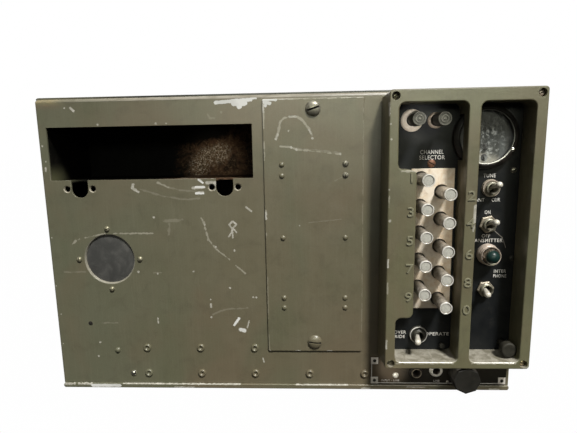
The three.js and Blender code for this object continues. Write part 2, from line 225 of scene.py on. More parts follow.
def block(x0, y0, z0, x1, y1, z1, bevel=0.0):
    mesh = bmesh.new()
    bmesh.ops.create_cube(mesh, size=1)
    for vert in mesh.verts:
        vert.co.x = x0 + (vert.co.x + 0.5) * (x1 - x0)
        vert.co.y = y0 + (vert.co.y + 0.5) * (y1 - y0)
        vert.co.z = z0 + (vert.co.z + 0.5) * (z1 - z0)
    if bevel:
        bmesh.ops.bevel(mesh, geom=list(mesh.edges), offset=bevel, segments=3, profile=0.5, affect="EDGES")
        for face in mesh.faces:
            face.smooth = True
    return mesh


def merged(*meshes):
    """One mesh from several; the parts are used up."""
    total = bmesh.new()
    for part in meshes:
        data = bpy.data.meshes.new("part")
        part.to_mesh(data)
        part.free()
        total.from_mesh(data)
        bpy.data.meshes.remove(data)
    return total


def moved(mesh, matrix):
    bmesh.ops.transform(mesh, matrix=matrix, verts=list(mesh.verts))
    return mesh


def spun(mesh, x, y, z, degrees, axis):
    """The mesh turned about an axis through (x, y, z)."""
    hub = Matrix.Translation((x, y, z))
    return moved(mesh, hub @ Matrix.Rotation(math.radians(degrees), 4, axis) @ hub.inverted())


def carved(body, *cutters):
    """The body with each cutter taken away."""
    scratch = []
    for source in (body, *cutters):
        data = bpy.data.meshes.new("carve")
        source.to_mesh(data)
        source.free()
        thing = bpy.data.objects.new("carve", data)
        bpy.context.scene.collection.objects.link(thing)
        scratch.append(thing)
    target = scratch[0]
    for cutter in scratch[1:]:
        step = target.modifiers.new("cut", "BOOLEAN")
        step.operation = "DIFFERENCE"
        step.solver = "EXACT"
        step.object = cutter
    shaped = target.evaluated_get(bpy.context.evaluated_depsgraph_get()).to_mesh()
    result = bmesh.new()
    result.from_mesh(shaped)
    for thing in scratch:
        data = thing.data
        bpy.data.objects.remove(thing)
        bpy.data.meshes.remove(data)
    return result


def piece(name, mesh, material, body="case", stands_for=(), sharp=35):
    """Names the mesh, gives it its finish and lets it ride on its body."""
    bmesh.ops.transform(mesh, matrix=TO_METRES, verts=list(mesh.verts))
    data = bpy.data.meshes.new(name)
    mesh.to_mesh(data)
    mesh.free()
    flat = [face.index for face in data.polygons if not face.use_smooth]
    data.set_sharp_from_angle(angle=math.radians(sharp))
    for index in flat:
        data.polygons[index].use_smooth = False
    for each in material if isinstance(material, tuple) else (material,):
        data.materials.append(each)
    thing = bpy.data.objects.new(name, data)
    bpy.context.scene.collection.objects.link(thing)
    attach(thing, body)
    if stands_for:
        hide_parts(*stands_for)
    return thing


def lettering(text, x, z, y_face, height, raised, bevel=0.0, spacing=1.0, stretch=1.0, weight=0.0):
    """Letters of that capital height, centred on (x, z), standing up from y_face.
    stretch widens them and weight thickens their strokes."""
    capital = 0.73
    curve = bpy.data.curves.new("letters", "FONT")
    curve.body = text
    curve.size = height / capital
    curve.align_x = "CENTER"
    curve.space_character = spacing
    curve.extrude = raised / 2 - bevel
    curve.bevel_depth = bevel
    curve.bevel_resolution = 2
    curve.offset = weight - bevel * 0.6
    thing = bpy.data.objects.new("letters", curve)
    bpy.context.scene.collection.objects.link(thing)
    data = bpy.data.meshes.new_from_object(thing.evaluated_get(bpy.context.evaluated_depsgraph_get()))
    bpy.data.objects.remove(thing)
    bpy.data.curves.remove(curve)
    mesh = bmesh.new()
    mesh.from_mesh(data)
    bpy.data.meshes.remove(data)
    upright = Matrix.Rotation(math.pi / 2, 4, "X") @ Matrix.Scale(stretch, 4, (1, 0, 0))
    return moved(mesh, Matrix.Translation((x, y_face - raised / 2, z - height / 2)) @ upright)


# ---------------------------------------------------------------------------
# Materials
# ---------------------------------------------------------------------------


class Finish:
    """A material under construction: a Principled shader and short calls that add nodes."""

    def __init__(self, name):
        self.material = bpy.data.materials.new(name)
        self.material.use_nodes = True
        self.nodes = self.material.node_tree.nodes
        self.links = self.material.node_tree.links
        self.nodes.clear()
        output = self.nodes.new("ShaderNodeOutputMaterial")
        self.shader = self.nodes.new("ShaderNodeBsdfPrincipled")
        self.links.new(self.shader.outputs["BSDF"], output.inputs["Surface"])
        self.metres = self.nodes.new("ShaderNodeTexCoord").outputs["Object"]
        shift = self.vector("SUBTRACT", self.metres, CORNER)
        self.place = self.vector("SCALE", shift, scale=1 / MM)

    def wire(self, value, socket):
        if isinstance(value, bpy.types.NodeSocket):
            self.links.new(value, socket)
        elif isinstance(value, (int, float)) or len(value) == len(socket.default_value):
            socket.default_value = value
        else:
            socket.default_value = (*value, 1.0)

    def set(self, name, value):
        self.wire(value, self.shader.inputs[name])

    def math(self, operation, *values, clamp=False):
        node = self.nodes.new("ShaderNodeMath")
        node.operation = operation
        node.use_clamp = clamp
        for value, socket in zip(values, node.inputs):
            self.wire(value, socket)
        return node.outputs[0]

    def times(self, a, b):
        return self.math("MULTIPLY", a, b)

    def plus(self, a, b):
        return self.math("ADD", a, b)

    def minus(self, a, b):
        return self.math("SUBTRACT", a, b)

    def vector(self, operation, *values, scale=None):
        node = self.nodes.new("ShaderNodeVectorMath")
        node.operation = operation
        for value, socket in zip(values, node.inputs):
            self.wire(value, socket)
        if scale is not None:
            self.wire(scale, node.inputs["Scale"])
        return node.outputs["Value" if operation in ("LENGTH", "DOT_PRODUCT") else "Vector"]

    def split(self, vector):
        node = self.nodes.new("ShaderNodeSeparateXYZ")
        self.wire(vector, node.inputs[0])
        return node.outputs

    def noise(self, size, detail=3.0, roughness=0.55, distortion=0.0, stretch=(1, 1, 1), colour=False):
        """Noise whose blotches are about size millimetres across."""
        node = self.nodes.new("ShaderNodeTexNoise")
        self.wire(self.vector("MULTIPLY", self.place, stretch), node.inputs["Vector"])
        node.inputs["Scale"].default_value = 1 / size
        node.inputs["Detail"].default_value = detail
        node.inputs["Roughness"].default_value = roughness
        node.inputs["Distortion"].default_value = distortion
        return node.outputs["Color" if colour else "Fac"]

    def fade(self, value, start, end, low=0.0, high=1.0):
        """A smooth step: low at start, high at end."""
        node = self.nodes.new("ShaderNodeMapRange")
        node.interpolation_type = "SMOOTHSTEP"
        for number, socket in zip((value, start, end, low, high), node.inputs):
            self.wire(number, socket)
        return node.outputs[0]

    def mix(self, factor, a, b, blend="MIX"):
        node = self.nodes.new("ShaderNodeMix")
        node.data_type = "RGBA"
        node.blend_type = blend
        self.wire(factor, node.inputs[0])
        self.wire(a, node.inputs[6])
        self.wire(b, node.inputs[7])
        return node.outputs[2]

    def bump(self, height, distance, strength=1.0, under=None):
        node = self.nodes.new("ShaderNodeBump")
        node.inputs["Distance"].default_value = distance * MM
        node.inputs["Strength"].default_value = strength
        self.wire(height, node.inputs["Height"])
        if under is not None:
            self.wire(under, node.inputs["Normal"])
        return node.outputs[0]

    def edges(self, radius):
        """How far the surface turns within radius millimetres: 0 on a flat, up to 1 on an edge."""
        bevel = self.nodes.new("ShaderNodeBevel")
        bevel.samples = 4
        bevel.inputs["Radius"].default_value = radius * MM
        plain = self.nodes.new("ShaderNodeNewGeometry").outputs["Normal"]
        along = self.vector("DOT_PRODUCT", bevel.outputs[0], plain)
        return self.math("SUBTRACT", 1.0, along, clamp=True)

    def facing(self):
        """The x, y and z parts of the surface normal."""
        return self.split(self.nodes.new("ShaderNodeNewGeometry").outputs["Normal"])

    def strokes(self, marks, ragged=0.9, grain=2.2):
        """The least distance to the marks, in half-widths, with ragged borders: under 1 inside.
        A mark is (x1, z1, x2, z2, half-width). The running least travels in the y part of the
        point, so each mark is worked out after the one before it."""
        far = 1e4
        wobble = self.vector("SUBTRACT", self.noise(grain, 3.0, 0.65, colour=True), (0.5, 0.5, 0.5))
        ragged_place = self.vector("ADD", self.place, self.vector("SCALE", wobble, scale=ragged * 2))
        state = self.vector("MULTIPLY_ADD", ragged_place, (1, 0, 1), (0, far, 0))
        for x1, z1, x2, z2, half in marks:
            start = Vector((x1, 0, z1))
            along = Vector((x2, 0, z2)) - start
            reach = self.vector("SUBTRACT", state, start)
            if along.length > 0.01:
                part = self.vector("DOT_PRODUCT", reach, along / along.length_squared)
                part = self.math("ADD", part, 0.0, clamp=True)
                reach = self.vector("MULTIPLY_ADD", -along, part, reach)
            reach = self.vector("MULTIPLY", reach, (1 / half, 0, 1 / half))
            away = self.vector("LENGTH", reach)
            state = self.vector("MINIMUM", state, self.vector("MULTIPLY_ADD", away, (0, 1, 0), (far, 0, far)))
        return self.split(state)[1]


def path(half, *points):
    """A bent mark: one stroke from each point to the next."""
    return [(*a, *b, half) for a, b in zip(points, points[1:])]


def dot(x, z, half):
    return (x, z, x, z, half)


OLIVE_LEFT = (0.108, 0.111, 0.070)
OLIVE_RIGHT = (0.132, 0.116, 0.071)
OLIVE_BROWN = (0.140, 0.104, 0.064)
OLIVE_GREEN = (0.094, 0.103, 0.058)
PRIMER = (0.50, 0.48, 0.42)
BARE_METAL = (0.34, 0.31, 0.25)


def olive_paint(name, chips=(), scratches=(), faint=(), patches=(), zones=(), wear=0.5, cast=False,
                left=OLIVE_LEFT, right=OLIVE_RIGHT):
    """Worn olive enamel. chips go down to the pale primer in specks, patches are bared all over,
    scratches and faint are thin broken lines, and edges inside the zones are worn right through."""
    finish = Finish(name)
    x = finish.split(finish.place)[0]
    colour = finish.mix(finish.fade(x, 10, 230), left, right)
    colour = finish.mix(finish.fade(finish.noise(95, 3, 0.5, 0.6), 0.42, 0.68, 0, 0.5), colour, OLIVE_BROWN)
    colour = finish.mix(finish.fade(finish.noise(70, 3, 0.5, 0.4, (1, 1, 0.55)), 0.5, 0.72, 0, 0.5), colour,
                        OLIVE_GREEN)
    grime = finish.noise(16, 5, 0.65, 0.8)
    colour = finish.mix(finish.fade(grime, 0.46, 0.75, 0, 0.3), colour, (0.062, 0.055, 0.034))
    speckle = finish.noise(1.3, 2, 0.6)
    colour = finish.mix(finish.fade(speckle, 0.3, 0.7, 0, 0.12), colour, (0.2, 0.19, 0.13))
    streak = finish.noise(1.6, 3, 0.6, 0, (1, 1, 0.04))
    colour = finish.mix(finish.fade(streak, 0.45, 0.75, 0, 0.14), colour, (0.21, 0.19, 0.13))

    fine = finish.minus(finish.noise(2.2, 4, 0.7), 0.5)
    patchy = finish.fade(finish.noise(24, 3, 0.6), 0.38, 0.62, 0.15, 1.3)
    if zones:
        patchy = finish.math("MAXIMUM", patchy, finish.fade(finish.strokes(zones, 0.6), 1.1, 0.8, 0, 1.5))
    worn = finish.times(finish.edges(1.1 if cast else 0.8), patchy)
    worn = finish.plus(worn, finish.times(fine, 0.35))
    bared = finish.fade(worn, 0.42 - 0.22 * wear, 0.6 - 0.22 * wear, 0, 0.7)
    colour = finish.mix(bared, colour, BARE_METAL)
    primer = finish.mix(finish.fade(finish.noise(3.5, 3), 0.38, 0.66), (0.34, 0.325, 0.27), PRIMER)
    if faint:
        gaps = finish.fade(finish.noise(6, 2, 0.5), 0.3, 0.6, 0.8, -0.2)
        near = finish.plus(finish.strokes(faint, 0.9, 6.0), finish.plus(gaps, finish.times(fine, 1.4)))
        colour = finish.mix(finish.fade(near, 1.5, 0.5, 0, 0.42), colour, (0.27, 0.25, 0.19))
    if scratches:
        gaps = finish.fade(finish.noise(4.5, 2, 0.5), 0.34, 0.6, 0.9, -0.25)
        near = finish.plus(finish.strokes(scratches, 0.6, 4.0), finish.plus(gaps, finish.times(fine, 1.2)))
        colour = finish.mix(finish.fade(near, 1.4, 0.6, 0, 0.66), colour, (0.36, 0.34, 0.27))
    if chips:
        near = finish.plus(finish.strokes(chips, 0.8), finish.times(fine, 1.2))
        struck = finish.fade(near, 1.15, 0.75, 0, 0.92)
        colour = finish.mix(struck, colour, primer)
        bared = finish.math("MAXIMUM", bared, struck)
    if patches:
        near = finish.plus(finish.strokes(patches, 0.8, 3.0), finish.times(fine, 0.5))
        struck = finish.fade(near, 1.06, 0.88, 0, 0.97)
        colour = finish.mix(struck, colour, finish.mix(patchy, (0.58, 0.58, 0.55), (0.7, 0.7, 0.67)))
        bared = finish.math("MAXIMUM", bared, struck)
    finish.set("Base Color", colour)
    sheen = finish.fade(finish.noise(30, 4, 0.6), 0.3, 0.7, 0.31, 0.40)
    finish.set("Roughness", finish.mix(bared, sheen, (0.5, 0.5, 0.5)))
    finish.shader.inputs["Specular IOR Level"].default_value = 0.7
    skin = finish.bump(finish.noise(3.0 if cast else 1.1, 3, 0.6), 0.10 if cast else 0.03)
    finish.set("Normal", finish.bump(finish.noise(60, 2, 0.5), 0.8 if cast else 1.6, 0.35, skin))
    return finish


def tinted(finish, amount, tint):
    """Mixes a tint into a finish's colour by that amount."""
    colour = finish.shader.inputs["Base Color"].links[0].from_socket
    finish.set("Base Color", finish.mix(amount, colour, tint))


def black_enamel(name, marks=(), dusty=0.3, brown_and_lifted=False):
    finish = Finish(name)
    cloud = finish.noise(40, 4, 0.6, 0.5)
    colour = finish.mix(cloud, (0.004, 0.0055, 0.007), (0.010, 0.0105, 0.011))
    # Browner and lighter over the whole label, most at its left: partly the plate's own brown, partly painted
    # light lifting it out of the guard's shadow.
    if brown_and_lifted:
        towards = finish.split(finish.place)[0]
        colour = finish.mix(0.75, colour, (0.024, 0.020, 0.0135))
        colour = finish.mix(finish.fade(towards, 362, 338), colour, (0.095, 0.072, 0.045))
    dust = finish.fade(finish.noise(9, 5, 0.7, 0.5), 0.5, 0.8, 0, dusty)
    colour = finish.mix(dust, colour, (0.05, 0.045, 0.036))
    edge = finish.fade(finish.edges(0.5), 0.15, 0.5, 0, 0.6)
    colour = finish.mix(edge, colour, (0.22, 0.2, 0.17))
    if marks:
        near = finish.strokes(marks, ragged=0.5)
        struck = finish.fade(near, 1.2, 0.7, 0, 0.75)
        colour = finish.mix(struck, colour, (0.34, 0.31, 0.27))
    finish.set("Base Color", colour)
    finish.set("Roughness", finish.fade(finish.noise(14, 4, 0.6), 0.3, 0.7, 0.4, 0.58))
    finish.shader.inputs["Specular IOR Level"].default_value = 0.22
    skin = finish.bump(finish.noise(0.9, 3, 0.6), 0.03)
    finish.set("Normal", finish.bump(cloud, 1.2, 0.25, skin))
    return finish


def metal(name, bright, dull, rough=(0.28, 0.5), grime=0.35, size=6, metallic=1.0, dirt=(0.05, 0.04, 0.028)):
    """Aged plating: two tones, grime in patches, fine scratches."""
    finish = Finish(name)
    tone = finish.mix(finish.fade(finish.noise(size, 4, 0.6, 0.6), 0.35, 0.68), bright, dull)
    dark = finish.fade(finish.noise(size * 0.6, 5, 0.7, 0.4), 0.48, 0.75, 0, grime)
    tone = finish.mix(dark, tone, dirt)
    finish.set("Base Color", tone)
    finish.set("Metallic", finish.fade(dark, 0, 1, metallic, metallic * 0.3))
    scratch = finish.noise(0.6, 3, 0.6, 0, (1, 1, 0.1))
    finish.set("Roughness", finish.fade(finish.plus(dark, finish.times(scratch, 0.5)), 0.1, 0.9, *rough))
    finish.set("Normal", finish.bump(scratch, 0.02, 0.6))
    return finish


def moulding(name, colour, lighter, rough=(0.38, 0.6), scale=5):
    finish = Finish(name)
    tone = finish.mix(finish.fade(finish.noise(scale, 5, 0.65, 0.6), 0.35, 0.75), colour, lighter)
    # Lighter along every edge: a painted edge highlight.
    edge = finish.fade(finish.edges(0.5), 0.12, 0.5, 0, 0.35)
    finish.set("Base Color", finish.mix(edge, tone, tuple(min(1, c * 3 + 0.05) for c in lighter)))
    finish.set("Roughness", finish.fade(finish.noise(scale * 2, 4, 0.6), 0.3, 0.7, *rough))
    finish.shader.inputs["Specular IOR Level"].default_value = 0.3
    finish.set("Normal", finish.bump(finish.noise(0.8, 3, 0.6), 0.025))
    return finish


def bay_rust_and_shade(name):
    """Inside the bay: near-black towards the left and the top as painted shade, and speckled rust
    towards the lower right with a bared, brightly flecked spot, partly real rust and partly a
    painted pool of light; olive near the left front."""
    finish = Finish(name)
    x, y, z = finish.split(finish.place)
    coarse = finish.noise(11, 6, 0.7, 1.2)
    speckle = finish.noise(3.0, 4, 0.75, 0.8)
    tone = finish.mix(finish.fade(coarse, 0.35, 0.65), (0.022, 0.014, 0.009), (0.105, 0.062, 0.036))
    tone = finish.mix(finish.fade(speckle, 0.52, 0.68, 0, 0.7), tone, (0.26, 0.185, 0.105))
    # The bared spot and its bright flecks: partly bared metal, partly a painted pool of light.
    spot = finish.strokes([(132, 224, 142, 234, 13), (142, 234, 160, 240, 12)], 4.0, 14)
    bared = finish.fade(spot, 1.2, 0.3)
    flecks = finish.times(bared, finish.fade(finish.noise(2.0, 3, 0.7, 1.0), 0.5, 0.62))
    tone = finish.mix(finish.times(bared, 0.3), tone, (0.24, 0.18, 0.115))
    tone = finish.mix(flecks, tone, (0.62, 0.55, 0.43))
    # Near-black where the bay lies in shade: painted shade.
    dark = finish.mix(finish.fade(coarse, 0.4, 0.7), (0.004, 0.004, 0.003), (0.010, 0.009, 0.007))
    near = finish.times(finish.fade(x, 30, 8), finish.times(finish.fade(z, 234, 217), finish.fade(y, 40, 4)))
    dark = finish.mix(near, dark, (0.11, 0.11, 0.06))
    # Rust tone reaches in from the right and the bottom: partly real rust, partly a painted pool of light;
    # the left and the top stay near-black as painted shade.
    rust_and_light_reach = finish.plus(x, finish.times(finish.minus(coarse, 0.5), 60.0))
    rust_and_light_reach = finish.minus(rust_and_light_reach, finish.times(finish.fade(z, 246, 262), 60.0))
    finish.shader.inputs["Specular IOR Level"].default_value = 0.06
    finish.set("Base Color", finish.mix(finish.fade(rust_and_light_reach, 100, 135), dark, tone))
    finish.set("Roughness", finish.fade(coarse, 0.3, 0.7, 0.6, 0.85))
    finish.set("Normal", finish.bump(speckle, 0.25, 0.7))
    return finish


def enamel(name, colour, stain, amount=0.5, size=5, rough=0.55):
    finish = Finish(name)
    tone = finish.mix(finish.fade(finish.noise(size, 5, 0.7, 0.6), 0.4, 0.72, 0, amount), colour, stain)
    finish.set("Base Color", tone)
    finish.set("Roughness", finish.fade(finish.noise(size, 3), 0.3, 0.7, rough - 0.08, rough + 0.08))
    finish.set("Normal", finish.bump(finish.noise(0.7, 3), 0.02))
    return finish


# ---------------------------------------------------------------------------
# Wear, and a few painted highlights along edges that catch the light: each mark is placed in
# millimetres from the feature it lies beside (on the lip and the guard, from the case's lower left
# corner)
# ---------------------------------------------------------------------------
WINDOW = (8, 216.4, 205.9, 267)
SLOT_CENTRES = (35.9, 178.1)
SLOT_HALF = 8.4
SLOT_ARC = 207.7
SLOT_HOLES = [(centre + side, SLOT_ARC + 0.2) for centre in SLOT_CENTRES for side in (-12.6, 12.9)]
DISC_HOLE = (59.7, 137.5, 25.5)
COVER_RIVET_LEFT = 233.5
COVER_RIVET_TOP = 228.6
COVER_RIVET_MIDDLE = 158

SILL = WINDOW[1]
WINDOW_LEFT_TOP = (WINDOW[0], WINDOW[3])
WINDOW_RIGHT_TOP = (WINDOW[2], WINDOW[3])
LEFT_SLOT = (SLOT_CENTRES[0], SILL)
RIGHT_SLOT = (SLOT_CENTRES[1], SILL)
DISC_CENTRE = DISC_HOLE[:2]
COVER_FOOT = (span("access_cover")[0].x, span("access_cover")[0].z)
COVER_HEAD = (span("access_cover")[0].x, span("access_cover")[1].z)
TOP_RIVET = (COVER_RIVET_LEFT, COVER_RIVET_TOP)
MIDDLE_RIVET = (COVER_RIVET_LEFT, COVER_RIVET_MIDDLE)


def near(origin, *marks):
    """The same strokes and dots, measured from a feature's own point."""
    x, z = origin
    return [(x + x0, z + z0, x + x1, z + z1, radius) for x0, z0, x1, z1, radius in marks]


def slot_rub(centre):
    """The rubbed border of a latch slot: down one side, round the end and up the other."""
    reach = SLOT_HALF + 0.8
    turns = [math.pi * (1 + k / 4) for k in range(5)]
    arc = [(centre + reach * math.cos(t), SLOT_ARC + reach * math.sin(t)) for t in turns]
    return path(2.2, (centre - reach, SILL), *arc, (centre + reach, SILL))


TOP_PATCH = [
    *near(WINDOW_RIGHT_TOP, *path(1.7, (-33, 20), (-17, 21), (0, 22)), *path(0.9, (0, 23), (5, 23)),
          *path(2.7, (-16, 19), (-6, 19)), dot(-11, 16, 2.6)),
    *near(RIGHT_SLOT, *path(1, (-28, -8), (-20, -8)), *path(1, (-28, -14), (-21, -14)),
          *path(0.9, (-25, -1), (-21, -4))),
    *near(COVER_FOOT, *path(1.2, (-29, 34), (-34, 27)), *path(1.8, (-28, 22), (-24, 21))),
]
FRONT_CHIPS = [
    *near(WINDOW_LEFT_TOP, *path(1.1, (26, 18), (29, 15)), dot(20, 18, 0.7), dot(51, 2, 1),
          dot(107, 2, 1.1), dot(117, 2, 0.8), dot(-5, -17, 1), dot(-3, -32, 0.9),
          *path(0.9, (-4, -38), (-4, -41))),
    *near(LEFT_SLOT, *path(1.4, (53, -5), (52, -8), (55, -10)), *path(1, (55, -10), (58, -12))),
    *near(RIGHT_SLOT, *path(1.3, (-31, -9), (-20, -8)), *path(1.3, (-28, -14), (-21, -13)),
          *path(1, (-25, 0), (-21, -4)), *path(1.6, (-17, -4), (-9, -4)), *path(1, (-9, -5), (-10, -11)),
          *path(0.9, (20, -28), (25, -32)), dot(-71, -37, 1.1), dot(-21, -45, 1), dot(-11, -67, 1)),
    *near(RIGHT_SLOT, *path(0.9, (6, -42), (3, -45), (5, -48)), *path(0.9, (7, -42), (10, -45), (7, -48)),
          *path(0.8, (6, -48), (5, -53), (2, -57)), *path(0.8, (6, -50), (6, -58)),
          *path(0.7, (7, -49), (10, -53))),
    *near(DISC_CENTRE, dot(28, -13, 1.2)),
    *near(COVER_FOOT, dot(-109, 81, 1), dot(-73, 83, 0.9), dot(-37, 66, 1.1), dot(-14, 56, 1),
          dot(-11, 56, 1), dot(-31, 104, 1.2), dot(-57, 54, 0.7), *path(1.1, (-57, 49), (-57, 46)),
          dot(-57, 35, 1.2), *path(0.7, (-112, 34), (-112, 29)), dot(-174, 8, 1), dot(-177, -7, 1)),
    *near(COVER_FOOT, *path(1.2, (-29, 34), (-34, 27)), *path(2.1, (-28, 22), (-24, 21)),
          *path(0.7, (-19, 31), (-21, 24)), *path(0.7, (-6, -9), (-5, -13))),
    *near((0, 0), dot(3, 160, 0.7), dot(2, 110, 0.6), dot(4, 80, 0.7), dot(3, 48, 0.7)),
]
FRONT_SCRATCHES = [
    *near(DISC_CENTRE, *path(0.9, (-36, 16), (-33, 19), (-29, 21)),
          *path(0.8, (-23, 22), (-12, 24), (-3, 26)), *path(0.8, (6, 26), (45, 26))),
    *near(RIGHT_SLOT, *path(0.9, (-65, -3), (-55, -8)), *path(0.7, (-24, -38), (-22, -42)),
          *path(1, (-22, -42), (-20, -52), (-18, -60)), *path(0.8, (-18, -60), (-10, -70)),
          *path(0.6, (-10, -70), (2, -80)), *path(0.8, (8, -86), (17, -94))),
]
FRONT_FAINT = [
    *near(RIGHT_SLOT, *path(0.9, (-83, -9), (-62, -16), (-39, -20), (-25, -19)),
          *path(0.8, (-57, -7), (-43, -11), (-28, -12)), *path(1.3, (-62, -41), (-43, -40)),
          *path(1.2, (-57, -54), (-56, -44))),
    *near(COVER_FOOT, *path(0.8, (-55, 38), (-47, 42), (-36, 44), (-20, 45)),
          *path(0.6, (-113, 82), (-105, 82))),
    *near(DISC_CENTRE, *path(0.7, (-48, -13), (-26, -13)), *path(0.7, (-14, -67), (3, -67))),
    *near(WINDOW_RIGHT_TOP, *path(0.9, (-41, 9), (-39, 6), (-35, 6)), dot(-28, 11, 0.9)),
]
FRONT_ZONES = [*slot_rub(SLOT_CENTRES[0]), *slot_rub(SLOT_CENTRES[1]), *path(1.6, (9, SILL), (26, SILL))]
COVER_PATCH = near(COVER_HEAD, *path(1, (1, -1), (13, -1)), *path(1.6, (2, -3), (7, -4)), dot(3, -6, 1.5))
COVER_CHIPS = [
    *near(TOP_RIVET, dot(-5, 24, 1.2), *path(0.9, (-5, 24), (-3, 28)), dot(29, 24, 1.1),
          *path(0.8, (26, 32), (28, 28)), *path(1, (8, 44), (14, 44)), dot(7, 31, 0.9), dot(9, 16, 1.2),
          dot(14, 14, 1.2), dot(55, 9, 1)),
    *near(MIDDLE_RIVET, dot(16, 12, 0.6)),
    *near(COVER_HEAD, *path(0.9, (1, 0), (28, 0)), *path(0.8, (1, -5), (1, -12)),
          *path(1, (1, -106), (1, -112))),
    *near(COVER_FOOT, *path(0.8, (28, 0), (32, 0)), *path(0.8, (59, 0), (64, 0)), dot(2, 0, 1)),
]
COVER_SCRATCHES = [
    *near(TOP_RIVET, *path(1, (-5, 25), (-2, 33), (0, 40)), *path(0.8, (0, 40), (3, 43), (8, 44)),
          *path(0.8, (8, 44), (14, 44)), *path(1.1, (14, 44), (20, 41), (26, 33), (29, 25)),
          *path(0.7, (-1, 17), (10, 16), (14, 14), (55, 9))),
    *near(COVER_HEAD, *path(0.9, (1, 0), (95, 0)), *path(0.7, (1, -1), (1, -26)),
          *path(0.7, (1, -38), (1, -56)), *path(0.7, (1, -104), (1, -110)), *path(0.6, (1, -126), (1, -130))),
]
COVER_FAINT_AND_EDGE_LIGHT = [
    *near(TOP_RIVET, *path(0.8, (0, 17), (14, 15), (40, 12), (56, 10)), *path(0.6, (50, -16), (57, -12))),
    *near(MIDDLE_RIVET, *path(0.5, (25, 15), (56, 18))),
    *near(COVER_FOOT, *path(0.6, (1, 1), (1, 17)), *path(0.6, (1, 35), (1, 77)),
          # The long line down the cover's right edge is a painted highlight where that edge faces the light.
          *path(0.9, (94, 17), (94, 237))),
]
LIP_CHIPS = [
    *path(1, (1, 4), (12, 4)), *path(1, (16, 4), (30, 4)), *path(0.6, (64, 4.5), (180, 4.5)),
    *path(0.8, (118, 1), (138, 1)), dot(143, 4, 0.7), *path(0.7, (170, 4.5), (186, 4.5)),
    *path(0.6, (244, 4.5), (296, 4.5)), *path(1.2, (311, 1), (318, 1)), *path(0.5, (356, 3), (374, 3)),
    *path(0.8, (438, 1), (447, 1)),
]
LIP_PATCH = path(1.7, (31, 2.5), (60, 2.5))
GUARD_EDGE = 330
RIB_EDGE = 406
GUARD_CHIPS = [
    *near((GUARD_EDGE, 0), dot(0, 263, 0.9), dot(1, 250, 1), dot(0, 206, 0.9), dot(1, 178, 1.2),
          *path(0.8, (0, 142), (0, 135)), *path(1, (0, 64), (0, 56)), *path(0.6, (-1, 281), (-1, 270))),
    *near((RIB_EDGE, 0), *path(1.8, (0, 190), (0, 177)), *path(0.9, (-1, 174), (-1, 168))),
    *path(0.8, (461, 38), (458, 37)),
]
# Scuffs; the lines along the shelf and sill front edges are partly wear, partly a painted highlight where
# those edges catch light from above.
GUARD_SCUFFS_AND_EDGE_LIGHT = [
    *path(1, (341, 222), (352, 222)), *path(0.9, (340, 41.5), (392, 41.5)),
    *path(0.9, (410, 41.5), (450, 41.5)),
    *near((GUARD_EDGE, 0), *path(0.6, (0, 200), (0, 190)), *path(0.6, (0, 120), (0, 110))),
]
PANEL_MARKS = path(0.3, (433, 164), (441, 157), (445, 147))


def front_paint():
    """The front's enamel: lighter along the rolled top, partly worn to the primer and partly a
    painted highlight where the roll catches light from above; rusty at its left corner.
    """
    finish = olive_paint("front_olive", FRONT_CHIPS, FRONT_SCRATCHES, FRONT_FAINT, TOP_PATCH, FRONT_ZONES,
                         wear=0.5)
    x, _, z = finish.split(finish.place)
    broken = finish.noise(14, 4, 0.6, 0.5, (1, 1, 3))
    # The rolled top: partly worn paint, partly a painted highlight, stronger towards the right.
    roll = finish.times(finish.fade(z, CASE_HEIGHT - 5.0, CASE_HEIGHT - 4.2),
                        finish.fade(x, 15, 120, 0.35, 1.0))
    tone = finish.mix(broken, (0.24, 0.215, 0.165), (0.36, 0.34, 0.28))
    tinted(finish, finish.times(roll, finish.fade(broken, 0.3, 0.6, 0.45, 0.9)), tone)
    corner = finish.times(finish.fade(x, 34, 8), finish.fade(z, CASE_HEIGHT - 13, CASE_HEIGHT - 4))
    tinted(finish, finish.times(corner, finish.fade(broken, 0.35, 0.6, 0.35, 0.8)),
           finish.mix(finish.fade(z, CASE_HEIGHT - 9, CASE_HEIGHT - 5), (0.17, 0.105, 0.065),
                      (0.27, 0.22, 0.11)))
    return finish.material


def lid_paint():
    """The lid's enamel, with its front edge darkened as painted shade where the shut line lies in
    shadow.
    """
    finish = olive_paint("lid_olive", wear=0.45)
    x = finish.split(finish.place)[0]
    # Painted shade: faces looking forward are darkened, more towards the right.
    front = finish.fade(finish.facing()[1], -0.12, -0.4)
    tinted(finish, finish.times(front, finish.fade(x, 20, 110, 0.2, 0.98)), (0.008, 0.007, 0.005))
    return finish.material


CASE_OLIVE = olive_paint("case_olive", wear=0.45).material
FRONT_OLIVE = front_paint()
LID_OLIVE = lid_paint()
COVER_OLIVE = olive_paint("cover_olive", COVER_CHIPS, COVER_SCRATCHES, COVER_FAINT_AND_EDGE_LIGHT, COVER_PATCH,
                          wear=0.75).material
LIP_OLIVE = olive_paint("lip_olive", LIP_CHIPS, patches=LIP_PATCH, wear=0.6).material
RIVET_OLIVE = olive_paint("rivet_olive", wear=0.55).material


